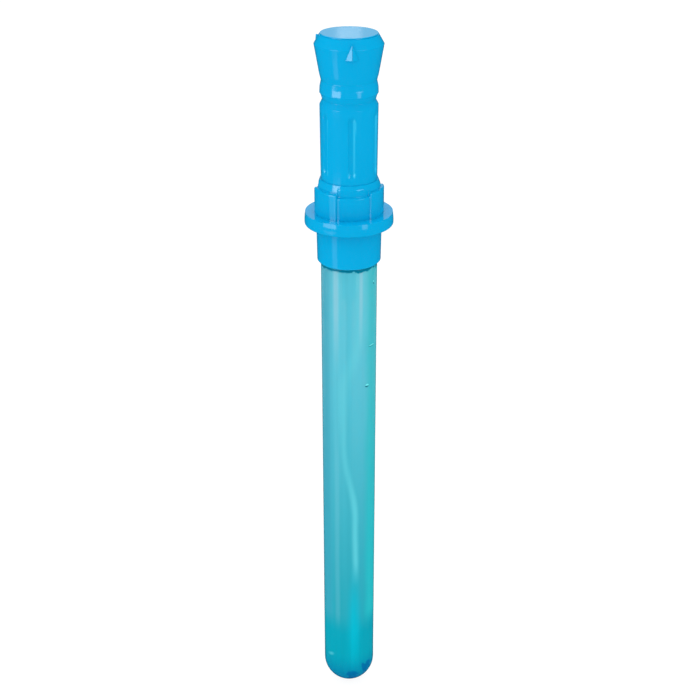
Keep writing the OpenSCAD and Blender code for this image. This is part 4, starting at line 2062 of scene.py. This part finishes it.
@dataclass(frozen=True)
class Studio:
    """The plain floor, the soft light and the camera at the picture's viewing angle."""

    focal_px: float = 1275.0
    image_px: float = 700.0
    axis_px: float = 349.0
    pitch: float = 26.0
    distance: float = 0.656
    aim_z: float = 0.2108
    sensor: float = 36.0
    sky: float = 1.01
    overhead: float = 0.42
    overhead_share: float = 1 / 6
    mirrored_sky: float = 0.02
    floor_half: float = 8.0
    floor_drop: float = 0.3 * MM
    floor_colour: Colour = (0.93, 0.93, 0.93)
    floor_glow: float = 1.07
    floor_white: float = 0.85
    # Name, azimuth, distance, low and high end, width and radiance of each.
    panels: tuple[Panel, ...] = (
        Panel("left_strip", -50.0, 0.80, 0.172, 0.442, 0.52, 2.3),
        Panel("left_strip_end", -50.0, 0.80, 0.128, 0.172, 0.52, 1.3),
        Panel("right_strip", 40.0, 0.80, 0.135, 0.27, 0.20, 0.9),
        Panel("right_wide_strip", 41.0, 0.80, 0.27, 0.43, 0.40, 1.6),
        Panel("left_low_strip", -45.0, 0.45, 0.117, 0.149, 0.08, 0.3),
        Panel("left_low_glow", -50.0, 0.46, 0.117, 0.146, 0.27, 0.34),
        Panel("left_foot_strip", -52.0, 0.45, 0.0, 0.104, 0.15, 0.36),
        Panel("left_high_strip", -50.0, 0.80, 0.54, 0.66, 0.46, 3.2),
        Panel("rear_panel", 180.0, 1.0, 0.45, 0.72, 0.6, 0.5),
        Panel("rear_patch", 180.0, 0.98, 0.578, 0.590, 0.03, 1.0),
        Panel("side_fill", -75.0, 1.2, 0.3, 1.3, 1.0, 0.5, False),
    )

    def build(self) -> None:
        """Set up the camera, the world, the floor and the panels."""
        self._camera()
        self._world()
        self._floor()
        for panel in self.panels:
            panel.build()
        bpy.context.scene.view_settings.view_transform = "Standard"

    def _camera(self) -> None:
        """Place the camera."""
        data = bpy.data.cameras.new("camera")
        data.sensor_width = self.sensor
        data.lens = self.sensor * self.focal_px / self.image_px
        data.shift_x = (self.image_px / 2 - self.axis_px) / self.image_px
        camera = bpy.data.objects.new("camera", data)
        pitch = math.radians(self.pitch)
        camera.location = (0.0, -self.distance * math.cos(pitch),
                           self.aim_z + self.distance * math.sin(pitch))
        camera.rotation_euler = (math.radians(90 - self.pitch), 0.0, 0.0)
        bpy.context.scene.collection.objects.link(camera)
        bpy.context.scene.camera = camera

    @staticmethod
    def _rays(bench: Bench) -> tuple[Wire, Wire]:
        """Tell kinds of rays apart.

        Args:
            bench: The bench of the world or of a material.

        Returns:
            1 for rays of sight, also through clear walls, and 1 for mirrored rays.
        """
        path = bench.node("ShaderNodeLightPath")
        seen = Wire(bench, path.outputs["Is Camera Ray"])
        seen = seen.at_least(Wire(bench, path.outputs["Is Transmission Ray"]))
        return seen, Wire(bench, path.outputs["Is Glossy Ray"])

    def _world(self) -> None:
        """Make the world white to the eye, softer as a light and dim in mirrored rays.

        As a light it is brighter overhead, and the even part gives up a share for that.
        """
        world = bpy.data.worlds.new("studio_world")
        world.use_nodes = True
        world.node_tree.nodes.clear()
        bench = Bench(world.node_tree)
        seen, mirrored = self._rays(bench)
        ways = bench.wire("ShaderNodeTexCoord", output="Generated")
        upward = bench.wire("ShaderNodeSeparateXYZ", {}, {0: ways}, "Z")
        crown = upward.between(0.0, 1.0) ** 2 * self.overhead
        lit = crown + (self.sky - self.overhead * self.overhead_share)
        level = seen + (1 - seen.at_least(mirrored)) * lit + mirrored * self.mirrored_sky
        sky = bench.node("ShaderNodeBackground", {}, {"Color": WHITE, "Strength": level})
        bench.node("ShaderNodeOutputWorld", {}, {"Surface": sky.outputs[0]})
        bpy.context.scene.world = world

    def _floor(self) -> None:
        """Lay the pale floor, mostly white to the eye, which keeps a soft shadow."""
        bench = ShaderBench("pale_floor")
        plain = bench.node("ShaderNodeBsdfDiffuse", {}, {"Color": (*self.floor_colour, 1.0)})
        seen, mirrored = self._rays(bench)
        level = mirrored * (self.mirrored_sky - self.floor_glow) + self.floor_glow
        glow = bench.node("ShaderNodeEmission", {}, {"Color": WHITE, "Strength": level})
        mixed = bench.node("ShaderNodeMixShader", {}, {
            0: (seen * self.floor_white).at_least(mirrored), 1: plain.outputs[0],
            2: glow.outputs[0]})
        bench.node("ShaderNodeOutputMaterial", {}, {"Surface": mixed.outputs[0]})
        half = self.floor_half
        corners = [(-half, -half), (half, -half), (half, half), (-half, half)]
        points = np.array([(x, y, -self.floor_drop) for x, y in corners])
        floor = mesh_object("floor", points, [(0, 1, 2, 3)], bench.material)


def main() -> None:
    """Build the whole object and its studio, piece by piece."""
    logging.basicConfig(level=logging.INFO, format="%(name)s: %(message)s")
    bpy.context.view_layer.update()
    Studio().build()
    tube_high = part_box("solution_tube")[1]
    washer_low, washer_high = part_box("sealing_washer")
    stick_low, stick_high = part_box("loop_stick")
    cap_low, cap_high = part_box("screw_cap")
    grip_low, grip_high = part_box("handle_grip")
    disc_low, disc_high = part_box("pommel_cap")
    handle_blue = HANDLE_PLASTIC.material()
    assemblies = [
        SolutionTube(tube_high.x, tube_high.z).build(),
        SealingWasher(washer_high.x, washer_low.z, washer_high.z).build(),
        LoopStick(stick_low.z, stick_high.z, stick_high.y).build(),
        ScrewCap(cap_low.z, cap_high.z, cap_high.x).build(handle_blue),
        HandleGrip(grip_low.z, grip_high.z, grip_high.x, cap_high.z).build(handle_blue),
        PommelCap(disc_high.x, disc_low.z, disc_high.z).build(handle_blue),
    ]
    for pieces in assemblies:
        for piece in pieces:
            log.info("%s: %d faces", piece.name, len(piece.data.polygons))


if __name__ == "__main__":
    main()
